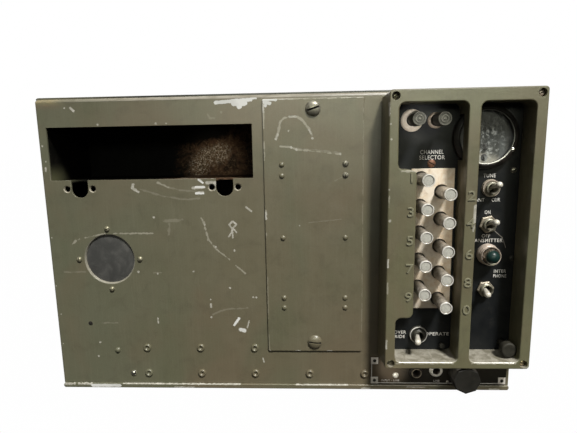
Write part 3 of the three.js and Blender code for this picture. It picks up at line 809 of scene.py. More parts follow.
def guard_paint():
    """The casting's enamel: the sills lighter where they face up, partly dust and partly painted light
    from above; a bright line along their front edges, partly wear and partly a painted highlight;
    the side walls darkened as painted shade.
    """
    finish = olive_paint("guard_olive", GUARD_CHIPS, GUARD_SCUFFS_AND_EDGE_LIGHT, wear=0.45, cast=True,
                         left=(0.137, 0.127, 0.078), right=(0.135, 0.130, 0.070))
    x, y, z = finish.split(finish.place)
    up = finish.facing()[2]
    low = finish.fade(z, 48.5, 46.5)
    # Upward faces of the sills: partly dusty bare metal, partly painted light falling from above.
    sill_dust_and_light = finish.times(finish.fade(up, 0.5, 0.85), low)
    stains = finish.noise(8, 5, 0.65, 0.6)
    tone = finish.mix(finish.fade(stains, 0.35, 0.65), (0.17, 0.155, 0.12), (0.33, 0.31, 0.255))
    tinted(finish, finish.times(sill_dust_and_light, finish.fade(stains, 0.3, 0.6, 0.75, 1.0)), tone)
    # Bright line along the sills' front edges: partly wear, partly a painted highlight.
    lip = finish.times(finish.fade(y, GUARD_FACE + 1.8, GUARD_FACE + 0.9), finish.fade(up, 0.2, 0.5))
    lip = finish.times(finish.times(lip, low),
                      finish.times(finish.fade(x, 338.4, 340), finish.fade(x, 453.6, 452)))
    tinted(finish, finish.times(lip, finish.fade(stains, 0.3, 0.5, 0.3, 0.85)), (0.35, 0.335, 0.27))
    # Painted shade: sideways faces, the walls of the openings, are darkened.
    walls = finish.times(finish.fade(finish.math("ABSOLUTE", finish.facing()[0]), 0.6, 0.9), 0.35)
    tinted(finish, walls, (0.05, 0.043, 0.026))
    return finish.material


GUARD_OLIVE = guard_paint()
PANEL_BLACK = black_enamel("panel_black", PANEL_MARKS, dusty=0.25).material
LABEL_BLACK = black_enamel("label_black", dusty=0.35, brown_and_lifted=True).material
LETTER_WHITE = enamel("letter_white", (0.84, 0.82, 0.76), (0.34, 0.32, 0.27), 0.45, 1.6).material
CORNER_CREAM = enamel("corner_cream", (0.84, 0.80, 0.72), (0.5, 0.43, 0.34), 0.4, 3).material
RIM_CREAM = enamel("worn_rim", (0.29, 0.265, 0.2), (0.13, 0.115, 0.08), 0.6, 4).material
RIM_OLIVE = enamel("worn_bevel", (0.25, 0.235, 0.185), (0.13, 0.12, 0.09), 0.7, 5).material
PLATE_TAN = metal("plate_tan", (0.94, 0.84, 0.70), (0.82, 0.66, 0.47), (0.42, 0.52), 0.4, 9, 0.1,
                  (0.36, 0.22, 0.11)).material
NICKEL = metal("aged_nickel", (0.58, 0.55, 0.5), (0.36, 0.33, 0.28), (0.26, 0.48), 0.4, 5).material
NICKEL_BRIGHT = metal("bright_nickel", (0.82, 0.8, 0.76), (0.6, 0.57, 0.52), (0.18, 0.35), 0.15, 5).material
NUT_GREY = metal("nut_grey", (0.36, 0.315, 0.24), (0.2, 0.17, 0.125), (0.45, 0.6), 0.35, 4, 0.35).material
RIM_BRIGHT = metal("rim_bright", (0.88, 0.86, 0.80), (0.70, 0.68, 0.61), (0.3, 0.42), 0.12, 4, 0.25).material
LAMP_TAN = metal("lamp_tan", (0.60, 0.51, 0.43), (0.42, 0.35, 0.285), (0.36, 0.5), 0.25, 5, 0.2).material
CAP_GREY = metal("cap_grey", (0.30, 0.285, 0.225), (0.16, 0.15, 0.115), (0.36, 0.5), 0.4, 4, 0.5).material
RING_GREY = metal("ring_grey", (0.17, 0.165, 0.135), (0.06, 0.058, 0.046), (0.4, 0.55), 0.4, 2.2,
                  0.35).material
POST_GREY = metal("post_grey", (0.060, 0.058, 0.046), (0.030, 0.028, 0.022), (0.4, 0.55), 0.3, 3,
                  0.25).material
LEVER_CREAM = metal("lever_cream", (0.76, 0.73, 0.64), (0.58, 0.54, 0.45), (0.42, 0.55), 0.15, 5,
                    0.2).material
SCREW_OLIVE = metal("screw_worn", (0.3, 0.28, 0.2), (0.16, 0.15, 0.09), (0.4, 0.6), 0.3, 3, 0.5).material
COPPER = metal("copper_brown", (0.22, 0.10, 0.055), (0.12, 0.06, 0.035), (0.5, 0.7), 0.4, 2.5, 0.4).material
BRASS = metal("dull_brass", (0.5, 0.41, 0.25), (0.33, 0.25, 0.15), (0.4, 0.55), 0.35, 4, 0.7).material
FROSTED = enamel("frosted_window", (0.52, 0.51, 0.45), (0.30, 0.30, 0.26), 0.7, 1.3, 0.42).material
# Digits lighter than the casting: partly worn paint, partly a painted highlight on their lit tops.
DIGIT_WORN_AND_LIT = enamel("digit_worn_and_lit", (0.21, 0.20, 0.13), (0.13, 0.125, 0.07), 0.7, 1.5).material
BAKELITE = moulding("bakelite_black", (0.014, 0.011, 0.009), (0.032, 0.027, 0.022)).material
KNOB_BLACK = moulding("knob_black", (0.0095, 0.0085, 0.0063), (0.0165, 0.0145, 0.011), (0.55, 0.7),
                      9).material
KNOB_BROWN = moulding("knob_brown", (0.018, 0.0165, 0.0115), (0.032, 0.029, 0.020), (0.55, 0.7)).material
FIBRE_TAN = moulding("fibre_tan", (0.70, 0.60, 0.48), (0.86, 0.77, 0.65), (0.4, 0.55), 3).material
FIBRE_BROWN = moulding("fibre_brown", (0.30, 0.24, 0.18), (0.42, 0.34, 0.26), (0.4, 0.55), 3).material
BAY_RUST_AND_SHADE = bay_rust_and_shade("bay_rust").material
DISC_GREY = enamel("disc_grey", (0.050, 0.050, 0.047), (0.088, 0.086, 0.080), 0.9, 13, 0.42).material
# Near-black; on screw slot floors it is painted shade.
GROOVE_DARK = moulding("groove_dark", (0.008, 0.007, 0.005), (0.016, 0.013, 0.010), (0.7, 0.9)).material


def dial_material():
    """Aged cream dial, pale at the lower left; over its top and right a painted shadow, darkening it,
    with grey vertical streaks as painted reflections.
    """
    finish = Finish("dial_cream")
    x, _, z = finish.split(finish.place)
    hub = middle("meter_dial")
    tone = finish.mix(finish.noise(3, 5, 0.7), (0.5, 0.48, 0.4), (0.3, 0.28, 0.21))
    along = finish.plus(finish.minus(z, hub.z), finish.times(finish.minus(x, hub.x), 0.45))
    along = finish.plus(along, finish.times(finish.minus(finish.noise(9, 4, 0.6), 0.5), 10.0))
    haze = finish.noise(7, 3, 0.5, 0.3, (1, 1, 0.12))
    # Over the top and right: a painted shadow with grey vertical streaks as painted reflections.
    shadow_and_reflection = finish.mix(finish.fade(haze, 0.42, 0.62), (0.013, 0.0145, 0.012), (0.055, 0.063, 0.062))
    finish.set("Base Color", finish.mix(finish.fade(along, -19, -9, 0.0, 0.95), tone, shadow_and_reflection))
    finish.set("Roughness", finish.fade(finish.noise(4, 3), 0.3, 0.7, 0.45, 0.6))
    finish.set("Normal", finish.bump(finish.noise(0.8, 3), 0.02))
    return finish.material


def glass_material(name, colour, alpha, rough):
    finish = Finish(name)
    haze = finish.noise(8, 4, 0.6, 0.8)
    finish.set("Base Color", finish.mix(haze, colour, tuple(c * 0.8 for c in colour)))
    finish.set("Roughness", finish.fade(haze, 0.3, 0.7, rough, rough + 0.1))
    finish.set("Alpha", finish.fade(haze, 0.35, 0.75, alpha, alpha + 0.08))
    finish.shader.inputs["IOR"].default_value = 1.5
    return finish.material


def meter_glass():
    """Clear pane under a film of dirt: smeared on the left and in the middle, clean at the right."""
    finish = Finish("meter_glass_clear")
    x = finish.split(finish.place)[0]
    hub = middle("meter_dial")
    across = finish.minus(x, hub.x)
    smear = finish.fade(finish.noise(5, 5, 0.75, 1.4), 0.47, 0.58)
    wiped = finish.fade(finish.noise(4, 4, 0.6, 0.4, (1, 1, 0.25)), 0.4, 0.6, 0.25, 1.0)
    film = finish.times(finish.times(smear, wiped), finish.fade(across, 20, 4, 0.2, 1.0))
    film = finish.math("MAXIMUM", film, finish.fade(across, -15, -20, 0, 0.9))
    finish.set("Base Color", finish.mix(film, (0.42, 0.45, 0.43), (0.66, 0.68, 0.62)))
    finish.set("Roughness", finish.fade(film, 0, 1, 0.1, 0.5))
    finish.set("Alpha", finish.fade(film, 0, 1, 0.02, 0.42))
    finish.shader.inputs["Specular IOR Level"].default_value = 0.3
    return finish.material


def bezel_lit_below():
    """Plated bezel ring, bright only along its bottom as a painted highlight and darkened above it as
    painted shade.
    """
    finish = metal("bezel_lit_below", (0.84, 0.83, 0.78), (0.64, 0.62, 0.56), (0.3, 0.42), 0.2, 4, 0.25)
    z = finish.split(finish.place)[2]
    low = middle("meter_dial").z
    # Painted shade above the bottom, which keeps a painted highlight.
    tinted(finish, finish.fade(z, low - 20, low - 10, 0, 0.9), (0.07, 0.07, 0.055))
    return finish.material


def button_side():
    """Plated barrel: darkened towards its foot as painted shade, brighter and streaked near the tip."""
    finish = metal("button_side", (0.52, 0.48, 0.42), (0.22, 0.19, 0.155), (0.28, 0.42), 0.45, 4, 0.35)
    y = finish.split(finish.place)[1]
    # Painted shade: the barrel darkens towards the panel.
    tinted(finish, finish.fade(y, -25, -6, 0.0, 0.8), (0.05, 0.038, 0.026))
    return finish.material


def jewel_material():
    finish = Finish("jewel_green")
    tone = finish.mix(finish.noise(3, 4, 0.6), (0.004, 0.019, 0.016), (0.009, 0.034, 0.029))
    finish.set("Base Color", tone)
    finish.set("Roughness", finish.fade(finish.noise(2, 3), 0.3, 0.7, 0.32, 0.44))
    finish.shader.inputs["Specular IOR Level"].default_value = 0.3
    finish.shader.inputs["Coat Weight"].default_value = 0.08
    finish.shader.inputs["Coat Roughness"].default_value = 0.3
    return finish.material


DIAL = dial_material()
METER_PANE = meter_glass()
TUBE_GLASS = glass_material("tube_glass", (0.7, 0.75, 0.72), 0.35, 0.08)
JEWEL = jewel_material()
BUTTON_SIDE = button_side()
BEZEL = bezel_lit_below()

# ---------------------------------------------------------------------------
# Fasteners
# ---------------------------------------------------------------------------


def dish_rivet(x, z, y=0.0, radius=4.1, proud=1.9):
    """A rolled tubular rivet: a ring with a dimple."""
    profile = [
        (0, y - 0.3), (radius * 0.28, y - 0.4), (radius * 0.45, y - proud * 0.75), (radius * 0.66, y - proud),
        (radius * 0.88, y - proud * 0.82), (radius, y - 0.4), (radius * 1.02, y + 0.3), (0, y + 0.3),
    ]
    return turned(softened(profile, 0.5), x, z, 28)


def dome_rivet(x, z, y=0.0, radius=2.6, height=1.5):
    arc = [(radius * math.sin(t), y - height * math.cos(t)) for t in (0, 0.35, 0.7, 1.05, 1.4, math.pi / 2)]
    return turned([*arc, (radius, y + 0.3), (0, y + 0.3)], x, z, 24)


def slotted_screw(x, z, y, radius, height, slot_angle=0.0, slot=None, shank=None, sides=32, depth=0.58):
    """A domed screw head with a slot that has a dark floor, the head's underside at y; shank is
    (radius, y of its end). The floor is the second material, near-black: painted shade in the slot."""
    arc = [(radius * math.sin(t), y - height * math.cos(t)) for t in (0, 0.3, 0.6, 0.9, 1.2, 1.42)]
    tail = [(radius, y - height * 0.12), (radius, y)]
    tail += [(shank[0], y), (shank[0], shank[1]), (0, shank[1])] if shank else [(0, y)]
    head = turned([*arc, *tail], x, z, sides)
    half = (slot or radius * 0.2) / 2
    bottom = y - height * (1 - depth)
    reach = radius * math.sqrt(1 - (1 - depth) ** 2) * 0.98
    groove = block(x - radius * 1.2, y - height - 1, z - half, x + radius * 1.2, bottom, z + half)
    head = carved(head, spun(groove, x, 0, z, -slot_angle, "Y"))
    floor = spun(block(x - reach, bottom - 0.12, z - half, x + reach, bottom + 0.2, z + half), x, 0, z,
                 -slot_angle, "Y")
    for face in floor.faces:
        face.material_index = 1
    return merged(head, floor)


# ---------------------------------------------------------------------------
# Case
# ---------------------------------------------------------------------------
HOLE_RIM = 3.5
ROLL = 3.0
SIDE_ROLL = 1.1


def window_outline():
    x0, z0, x1, z1 = WINDOW
    points = [(x0, z0)]
    for centre in SLOT_CENTRES:
        points.append((centre - SLOT_HALF, z0))
        for k in range(17):
            turn = math.pi * (1 + k / 16)
            points.append((centre + SLOT_HALF * math.cos(turn), SLOT_ARC + SLOT_HALF * math.sin(turn)))
        points.append((centre + SLOT_HALF, z0))
    return points + [(x1, z0), (x1, z1), (x0, z1)]


def rolled_rim(x0, z0, x1, z1, depth, thickness=1.6):
    """The front sheet's edge, rolled back all round into a flange: wide above, tight at the sides."""
    turns = [math.pi / 2 * k / 5 for k in range(6)]
    arc = [(1 - math.sin(t), ROLL * (1 - math.cos(t))) for t in turns]
    section = [*arc, (0, depth), (0.5, depth), (0.5, thickness + 1), (1, thickness)]
    mesh = bmesh.new()
    rings = []
    for part, y in section:
        across, up = part * SIDE_ROLL, part * ROLL
        corner = max(0.4, ROLL - up)
        shallow = y * SIDE_ROLL / ROLL if y < ROLL and part < 1 and (part, y) in arc else y
        loop = rounded(rectangle(x0 + across, z0 + up, x1 - across, z1 - up), corner, 5)
        rings.append([mesh.verts.new((x, shallow if x < x0 + 1.2 or x > x1 - 1.2 else y, z)) for x,
                      z in wound(loop, True)])
    count = len(rings[0])
    for front, back in zip(rings, rings[1:] + rings[:1]):
        for i in range(count):
            k = (i + 1) % count
            mesh.faces.new((front[i], back[i], back[k], front[k])).smooth = True
    return mesh


def build_front_sheet():
    low, high = span("front_panel")
    top = high.z - 1.7
    panel_low, panel_high = span("control_panel")
    cover_low, cover_high = span("access_cover")
    x_octagon, z_octagon = middle("octagonal_knob").x, middle("octagonal_knob").z
    jack_holes = [circle(middle(n).x, middle(n).z, 7) for n in ("phone_jack_left", "phone_jack_right")]
    holes = [
        window_outline(),
        circle(*DISC_HOLE, 64),
        rectangle(cover_low.x + 9.6, cover_low.z + 22.5, cover_high.x - 9.3, cover_high.z - 23),
        rectangle(panel_low.x + 12, panel_low.z + 7, panel_high.x - 3, panel_high.z - 6),
        circle(x_octagon, z_octagon, 4, 24),
        *jack_holes,
        *[circle(x, z, HOLE_RIM, 24) for x, z in SLOT_HOLES],
        *[circle(middle(n).x, middle(n).z, 3.5, 20) for n in ("captive_screw_bottom", "captive_screw_top")],
    ]
    face = plate(rectangle(SIDE_ROLL, low.z + ROLL, CASE_WIDTH - SIDE_ROLL, top - ROLL), holes, 0, SHEET,
                 0.25)
    rim = rolled_rim(0, low.z, CASE_WIDTH, top, SHEET)
    piece("front_sheet", merged(face, rim), FRONT_OLIVE, stands_for=("front_panel",))

    upper = [(91.5, 44), (147, 44), (202.5, 44)]
    lower = [(91.5 + 55.5 * k, 16.3) for k in range(5)]
    rivets = [dish_rivet(x, z) for x, z in upper + lower]
    rivets += [dome_rivet(60.3, 41.2, 0, 2.9, 2.1), dome_rivet(75.3, 15.6, 0, 3.4, 1.0)]
    piece("front_rivets", merged(*rivets), RIVET_OLIVE)
    piece("bright_rivet", dome_rivet(75.3, 16.2, -0.6, 2.7, 1.7), NICKEL_BRIGHT)
    piece("plugged_hole", dome_rivet(34, 70, 0.1, 2.3, 0.5), GROOVE_DARK)
    ring = [(HOLE_RIM + 0.1, 0), (2.7, 0.9), (2.7, SHEET), (HOLE_RIM + 0.1, SHEET), (HOLE_RIM + 0.1, 0)]
    piece("slot_hole_rims", merged(*[turned(ring, x, z, 32) for x, z in SLOT_HOLES]), RIM_CREAM)


def build_inspection_disc():
    x, z, radius = DISC_HOLE
    low, high = span("inspection_disc")
    disc = turned(softened([(0, low.y), (radius + 9, low.y), (radius + 9, high.y), (0, high.y)], 0.4), x, z,
                  64)
    piece("round_window_disc", disc, DISC_GREY, stands_for=("inspection_disc",))
    cone = [(radius + 0.2, 0.05), (radius - 0.4, 0.25), (radius - 1.3, 1.9), (radius - 1.3, SHEET + 0.1),
            (radius + 0.2, SHEET), (radius + 0.2, 0.05)]
    piece("round_window_rim", turned(softened(cone, 0.2), x, z, 96), RIM_OLIVE)
    pitch = 30.8
    spots = [(x, z + pitch, 30), (x - pitch, z, 80), (x + pitch, z, -35), (x, z - pitch, 10)]
    screws = [slotted_screw(sx, sz, 0, 2.8, 2.1, angle, 0.6) for sx, sz, angle in spots]
    piece("disc_screws", merged(*screws), (SCREW_OLIVE, GROOVE_DARK))


def build_case_shell():
    low, high = span("cabinet_wrap")
    bend = 4.0
    wall = 2.0
    steps = 8

    def quarter(cx, cz, radius, start):
        turns = [math.radians(start + 90 * k / steps) for k in range(steps + 1)]
        return [(cx + radius * math.cos(t), cz + radius * math.sin(t)) for t in turns]

    outer = [(0, high.z), *quarter(bend, bend, bend, 180), *quarter(CASE_WIDTH - bend, bend, bend, 270)]
    inner = [
        (CASE_WIDTH, high.z), (CASE_WIDTH - wall, high.z),
        *reversed(quarter(CASE_WIDTH - bend, bend, bend - wall, 270)),
        *reversed(quarter(bend, bend, bend - wall, 180)), (wall, high.z),
    ]
    shell = plate(outer + inner, [], SHEET + 0.3, high.y, 0.3, 0.3)
    lip_section = rounded(rectangle(0, 0, CASE_WIDTH, 5), 2.2, 5)
    lip = plate(lip_section, [], low.y, -0.25, 0.8)
    floor_lip = block(0.4, -0.5, 0.02, CASE_WIDTH - 0.4, SHEET + 1, 1.6, 0.2)
    piece("case_wrap", merged(shell), CASE_OLIVE, stands_for=("cabinet_wrap",))
    piece("front_lip", merged(lip, floor_lip), LIP_OLIVE)


def build_top_and_back():
    low, high = span("top_cover")
    flange = span("top_cover")[0].z
    roll = 2.2
    lid = [
        (0, high.z - 2), (2.3, high.z - 2), (2.3, flange), (3.8, flange), (3.8, high.z - 2),
        (CASE_WIDTH - 3.8, high.z - 2), (CASE_WIDTH - 3.8, flange), (CASE_WIDTH - 2.3, flange),
        (CASE_WIDTH - 2.3, high.z - 2), (CASE_WIDTH, high.z - 2),
        (CASE_WIDTH, high.z - roll * 0.6), (CASE_WIDTH - roll * 0.3, high.z - roll * 0.2),
        (CASE_WIDTH - roll, high.z),
        (roll, high.z), (roll * 0.3, high.z - roll * 0.2), (0, high.z - roll * 0.6),
    ]
    piece("top_lid", plate(lid, [], low.y, high.y, 0.3, 0.5), LID_OLIVE,
          stands_for=("top_cover",))
    socket = middle("rear_connector")
    back_low, back_high = span("rear_panel")
    back = plate(rounded(rectangle(0, 0, CASE_WIDTH, CASE_HEIGHT), 3, 4), [circle(socket.x, socket.z, 15)],
                 back_low.y, back_high.y, 0.3, 0.8)
    piece("back_panel", back, CASE_OLIVE, stands_for=("rear_panel",))

    mirror = Matrix.Translation((0, 2 * CASE_DEPTH, 0)) @ Matrix.Scale(-1, 4, (0, 1, 0))
    margin = 9
    columns = [margin + (CASE_WIDTH - 2 * margin) * k / 5 for k in range(6)]
    rows = [margin + (CASE_HEIGHT - 2 * margin) * k / 3 for k in range(1, 3)]
    spots = [(x, z) for x in columns for z in (margin, CASE_HEIGHT - margin)]
    spots += [(x, z) for x in (margin, CASE_WIDTH - margin) for z in rows]
    heads = []
    for index, (x, z) in enumerate(spots):
        head = moved(slotted_screw(x, z, CASE_DEPTH, 4, 2.1, 37 * index), mirror)
        bmesh.ops.reverse_faces(head, faces=list(head.faces))
        heads.append(head)
    piece("back_screws", merged(*heads), (SCREW_OLIVE, GROOVE_DARK))


def side_rivets():
    """Dish rivets on the side walls, in a column behind the front edge and one before the rear."""
    heads = []
    for side, turn in ((0, -90), (CASE_WIDTH, 90)):
        for depth in (18, CASE_DEPTH - 20):
            for k in range(5):
                height = 30 + 58 * k
                head = dish_rivet(0, 0, 0, 3.6)
                spin = Matrix.Rotation(math.radians(turn), 4, "Z")
                inward = 2.0 if side == 0 else -2.0
                heads.append(moved(head, Matrix.Translation((side + inward, depth, height)) @ spin))
    piece("side_rivets", merged(*heads), RIVET_OLIVE)


def build_bay():
    low, high = span("drawer_bay")
    wall = 1.4
    ledge = WINDOW[1] - 1.6
    walls = [
        block(low.x, low.y, low.z, high.x, high.y, low.z + wall),
        block(low.x, low.y, high.z - wall, high.x, high.y, high.z),
        block(low.x, low.y, low.z + wall, low.x + wall, high.y, high.z - wall),
        block(high.x - wall, low.y, low.z + wall, high.x, high.y, high.z - wall),
        block(low.x + wall, high.y - wall, low.z + wall, high.x - wall, high.y, high.z - wall),
    ]
    notch = 26
    edges = [low.x + wall, *(e for c in SLOT_CENTRES for e in (c - SLOT_HALF, c + SLOT_HALF)), high.x - wall]
    for x0, x1 in zip(edges[::2], edges[1::2]):
        walls.append(block(x0, low.y + 0.1, ledge - wall, x1, notch, ledge, 0.3))
    walls.append(block(low.x + wall, notch, ledge - wall, high.x - wall, high.y - wall, ledge))
    piece("bay_box", merged(*walls), BAY_RUST_AND_SHADE, stands_for=("drawer_bay",))


# ---------------------------------------------------------------------------
# Access cover
# ---------------------------------------------------------------------------


def build_cover():
    low, high = span("access_cover")
    holes = [circle(middle(n).x, middle(n).z, 3.4, 24) for n in ("captive_screw_bottom", "captive_screw_top")]
    sheet = plate(rounded(rectangle(low.x, low.z, high.x, high.z), 1.6, 4), holes, low.y, high.y, 0.55, 0.2)
    piece("cover_sheet", sheet, COVER_OLIVE, "cover", ("access_cover",))
    left, right = COVER_RIVET_LEFT, COVER_RIVET_LEFT + 60
    face = low.y
    rows = (COVER_RIVET_TOP, 218, COVER_RIVET_MIDDLE, 97.5, 87.4)
    domes = [dome_rivet(left, z, face, 2.6, 1.5) for z in rows] + [dome_rivet(right, z, face, 2.6, 1.4)
            for z in rows[2:]]
    piece("cover_rivets", merged(*domes), RIVET_OLIVE, "cover")
    screws = [slotted_screw(right, z, face, 2.9, 1.8, angle, 0.8) for z, angle in zip(rows[:2], (65, 80))]
    piece("cover_screws", merged(*screws), (CAP_GREY, GROOVE_DARK), "cover")
    tops = (("captive_screw_top", 18, CAP_GREY), ("captive_screw_bottom", -5, RIVET_OLIVE))
    for name, angle, material in tops:
        spot = middle(name)
        node_low, node_high = span(name)
        y = face - 0.3
        head = slotted_screw(spot.x, spot.z, y, 7.2, y - node_low.y, angle, 1.8, (2.7, node_high.y), 56, 0.5)
        piece(name + "_head", head, (material, GROOVE_DARK), name, (name,))


# ---------------------------------------------------------------------------
# Guard
# ---------------------------------------------------------------------------


def build_guard():
    low, high = span("control_guard")
    meter = middle("meter_dial")
    rib_left, rib_right = 396.5, 407
    left = [(338, 42.4), (rib_left, 42.4), (rib_left, 281), (337.4, 281),
            (337.4, 223), (354, 223), (354, 86), (338, 86)]
    right = rectangle(rib_right, 42.4, 453, 280.5)
    edge = 328.8
    frame_plate = plate(rounded(rectangle(edge, low.z, high.x, high.z + 0.6), 3, 5),
                        [rounded(left, 5.5, 6), rounded(right, 5.5, 6)], low.y, high.y, 1.1, 0.4)
    for vert in frame_plate.verts:
        if vert.co.x < edge + 3.1:
            back = (vert.co.y - low.y) / (high.y - low.y)
            ends = min(1, (high.z - vert.co.z) / 3, (vert.co.z - low.z) / 3)
            vert.co.x -= (edge - low.x) * back * max(0, ends)
            if vert.co.z > high.z - 3.1:
                vert.co.z -= 1.5 * back
        if vert.co.x > edge + 5 and 41 < vert.co.z < 48:
            vert.co.z += 1.8 * (vert.co.y - low.y) / (high.y - low.y) * (48 - vert.co.z) / 5.6
    relief = turned([(0, -14.4), (31, -14.4), (31, 2), (0, 2)], meter.x, meter.z, 72)
    corners = [middle("guard_screw_%d" % (i + 1)) for i in range(4)]
    seats = [turned([(0, low.y - 1), (3.9, low.y - 1), (3.6, low.y + 0.3), (3.6, low.y + 6),
                     (2.2, low.y + 6), (2.2, 0), (0, 0)],
                    c.x, c.z, 32) for c in corners]
    casting = carved(frame_plate, relief, *seats)
    piece("guard_casting", casting, GUARD_OLIVE, stands_for=("control_guard",), sharp=28)
    for i, corner in enumerate(corners):
        node = "guard_screw_%d" % (i + 1)
        node_low, node_high = span(node)
        head = slotted_screw(corner.x, corner.z, node_low.y + (2.2, 1.0, 2.0, 1.0)[i], 3.25, 2.2,
                             (35, 20, 50, -15)[i], 0.8, (1.9, node_high.y))
        finish = (SCREW_OLIVE, LAMP_TAN, SCREW_OLIVE, BRASS)[i]
        piece("guard_screw_head_%d" % (i + 1), head, (finish, GROOVE_DARK),
              stands_for=(node,))

    shelf_x, rib_x = 349.2, 402.1
    odd = zip("13579", (216.5, 186, 160, 134, 107))
    even = zip("24680", (200, 175.5, 147, 120.5, 94.6))
    digits = [lettering(d, x, z, low.y + 0.25, 8.8, 1.1, 0.25, 1, 1.2, 0.05)
              for x, column in ((shelf_x, odd), (rib_x, even)) for d, z in column]
    piece("guard_digits", merged(*digits), DIGIT_WORN_AND_LIT)


# ---------------------------------------------------------------------------
# Control panel
# ---------------------------------------------------------------------------
ODD = ("channel_button_1", "channel_button_3", "channel_button_5", "channel_button_7", "channel_button_9")
EVEN = ("channel_button_2", "channel_button_4", "channel_button_6", "channel_button_8", "channel_button_10")


def build_panels():
    low, high = span("control_panel")
    buttons = [middle(n) for n in ODD + EVEN]
    meter = middle("meter_dial")
    holes = [circle(b.x, b.z, 6.6, 32) for b in buttons]
    holes += [circle(middle(n).x, middle(n).z, 3.6, 24) for n in ("binding_post_base_1",
            "binding_post_base_2", "trimmer_knob")]
    holes += [circle(meter.x, meter.z, 26.8, 64), circle(middle("pilot_lamp_body").x,
            middle("pilot_lamp_body").z, 7.6, 32)]
    holes += [circle(middle("toggle_body_%d" % i).x, middle("toggle_body_%d" % i).z, 6.5, 32)
              for i in (1, 2, 3, 4)]
    piece("panel_face", plate(rectangle(low.x, low.z, high.x, high.z), holes, low.y, high.y, 0.3),
          PANEL_BLACK, stands_for=("control_panel",))

    low, high = span("selector_plate")
    holes = [circle(b.x, b.z, 6.7, 40) for b in buttons]
    piece("selector_face", plate(rectangle(low.x, low.z, high.x, high.z), holes, low.y, high.y, 0.25),
          PLATE_TAN, stands_for=("selector_plate",))

    low, high = span("lower_label_plate")
    jacks = [middle("phone_jack_left"), middle("phone_jack_right")]
    knob = middle("octagonal_knob")
    holes = [circle(j.x, j.z, 5, 32) for j in jacks] + [circle(knob.x, knob.z, 4, 24)]
    piece("label_face", plate(rectangle(low.x, low.z, high.x, high.z), holes, low.y, high.y, 0.25),
          LABEL_BLACK, stands_for=("lower_label_plate",))
    face = low.y
    corner = 7.2
    squares = [
        block(x, face - 0.12, z, x + corner, face + 0.05, z + corner, 0.05)
        for x, z in ((low.x + 0.5, high.z - 7.7), (low.x + 0.5, low.z + 0.5), (high.x - 7.7, low.z + 0.5),
                     (high.x - 7.7, high.z - 7.7))
    ]
    piece("label_corners", merged(*squares), CORNER_CREAM)
    line = 0.7
    border = [
        block(low.x + 0.9, face - 0.08, low.z + corner, low.x + 0.9 + line, face + 0.05, high.z - corner),
        block(low.x + corner, face - 0.08, low.z + 0.9, high.x - corner, face + 0.05, low.z + 0.9 + line),
    ]
    texts = [lettering("INPUT - LINE", 339, 10.4, face + 0.03, 2.1, 0.1, 0, 1.1),
             lettering("LINE", 385, 10.2, face + 0.03, 2.1, 0.1, 0, 1.1)]
    piece("label_border", merged(*border), LETTER_WHITE)
    piece("label_lines", merged(*texts), LETTER_WHITE)
    spots = [(low.x + 4.1, high.z - 4.1, 20), (low.x + 4.1, low.z + 4.1, 0), (high.x - 4.1, low.z + 4.1, 90)]
    piece("label_screws",
          merged(*[slotted_screw(x, z, face, 1.7, 0.8, a, 0.5, sides=24) for x, z, a in spots]),
          (KNOB_BROWN, GROOVE_DARK))
    piece("label_bright_screw", dome_rivet(344.3, 15.9, face, 3.0, 1.3), LEVER_CREAM)
    piece("label_small_screw", dome_rivet(396.1, 9.0, face, 1.6, 0.9), NICKEL)


def build_letters():
    face = PANEL_FACE
    words = [
        ("CHANNEL", 372.7, 238.2, 3.9, 0.80), ("SELECTOR", 373, 233.2, 3.9, 0.86),
        ("TUNE", 426.3, 215.7, 3.5, 0.85),
        ("ANT", 418.5, 193.0, 3.4, 0.85), ("CUR", 433.2, 193.0, 3.4, 0.78), ("ON", 426.4, 181.3, 3.4, 0.75),
        ("OFF", 425.9, 158.6, 3.4, 0.9), ("TRANSMITTER", 425.6, 154.2, 3.5, 0.95),
        ("INTER", 440.8, 124.0, 3.3, 0.86),
        ("PHONE", 441, 119.2, 3.3, 0.78), ("OPERATE", 383.5, 60.3, 3.4, 1.12),
        ("OVER", 347.5, 62.0, 3.2, 1.0),
        ("RIDE", 347.5, 57.4, 3.2, 1.0),
    ]
    strips = [lettering(text, x, z, face + 0.03, size, 0.12, 0, 1.12, wide, 0.03) for text, x, z, size,
              wide in words]
    piece("panel_letters", merged(*strips), LETTER_WHITE)
    piece("panel_screw_copper", slotted_screw(372.7, 227.5, face, 3.8, 1.7, -30, 0.9),
          (COPPER, GROOVE_DARK))
    flange = span("meter_case")[0].y + 0.8
    piece("meter_flange_screw", dome_rivet(443, 238.9, flange, 2.2, 1.2), NICKEL_BRIGHT)
    piece("panel_screw_grey", slotted_screw(447.8, 220.2, face, 2.8, 1.6, 25, 0.8), (CAP_GREY, GROOVE_DARK))
    piece("panel_screw_dark", slotted_screw(451.0, 136.6, face, 2.8, 1.6, 60, 0.8),
          (KNOB_BROWN, GROOVE_DARK))
    pin = turned(softened([(0, -7.2), (2.4, -7.2), (2.8, -6.4), (2.8, -4.4), (1.7, -4), (1.7, face),
                           (0, face)], 0.4), 388, 49.5, 24)
    piece("panel_pin", pin, KNOB_BROWN)


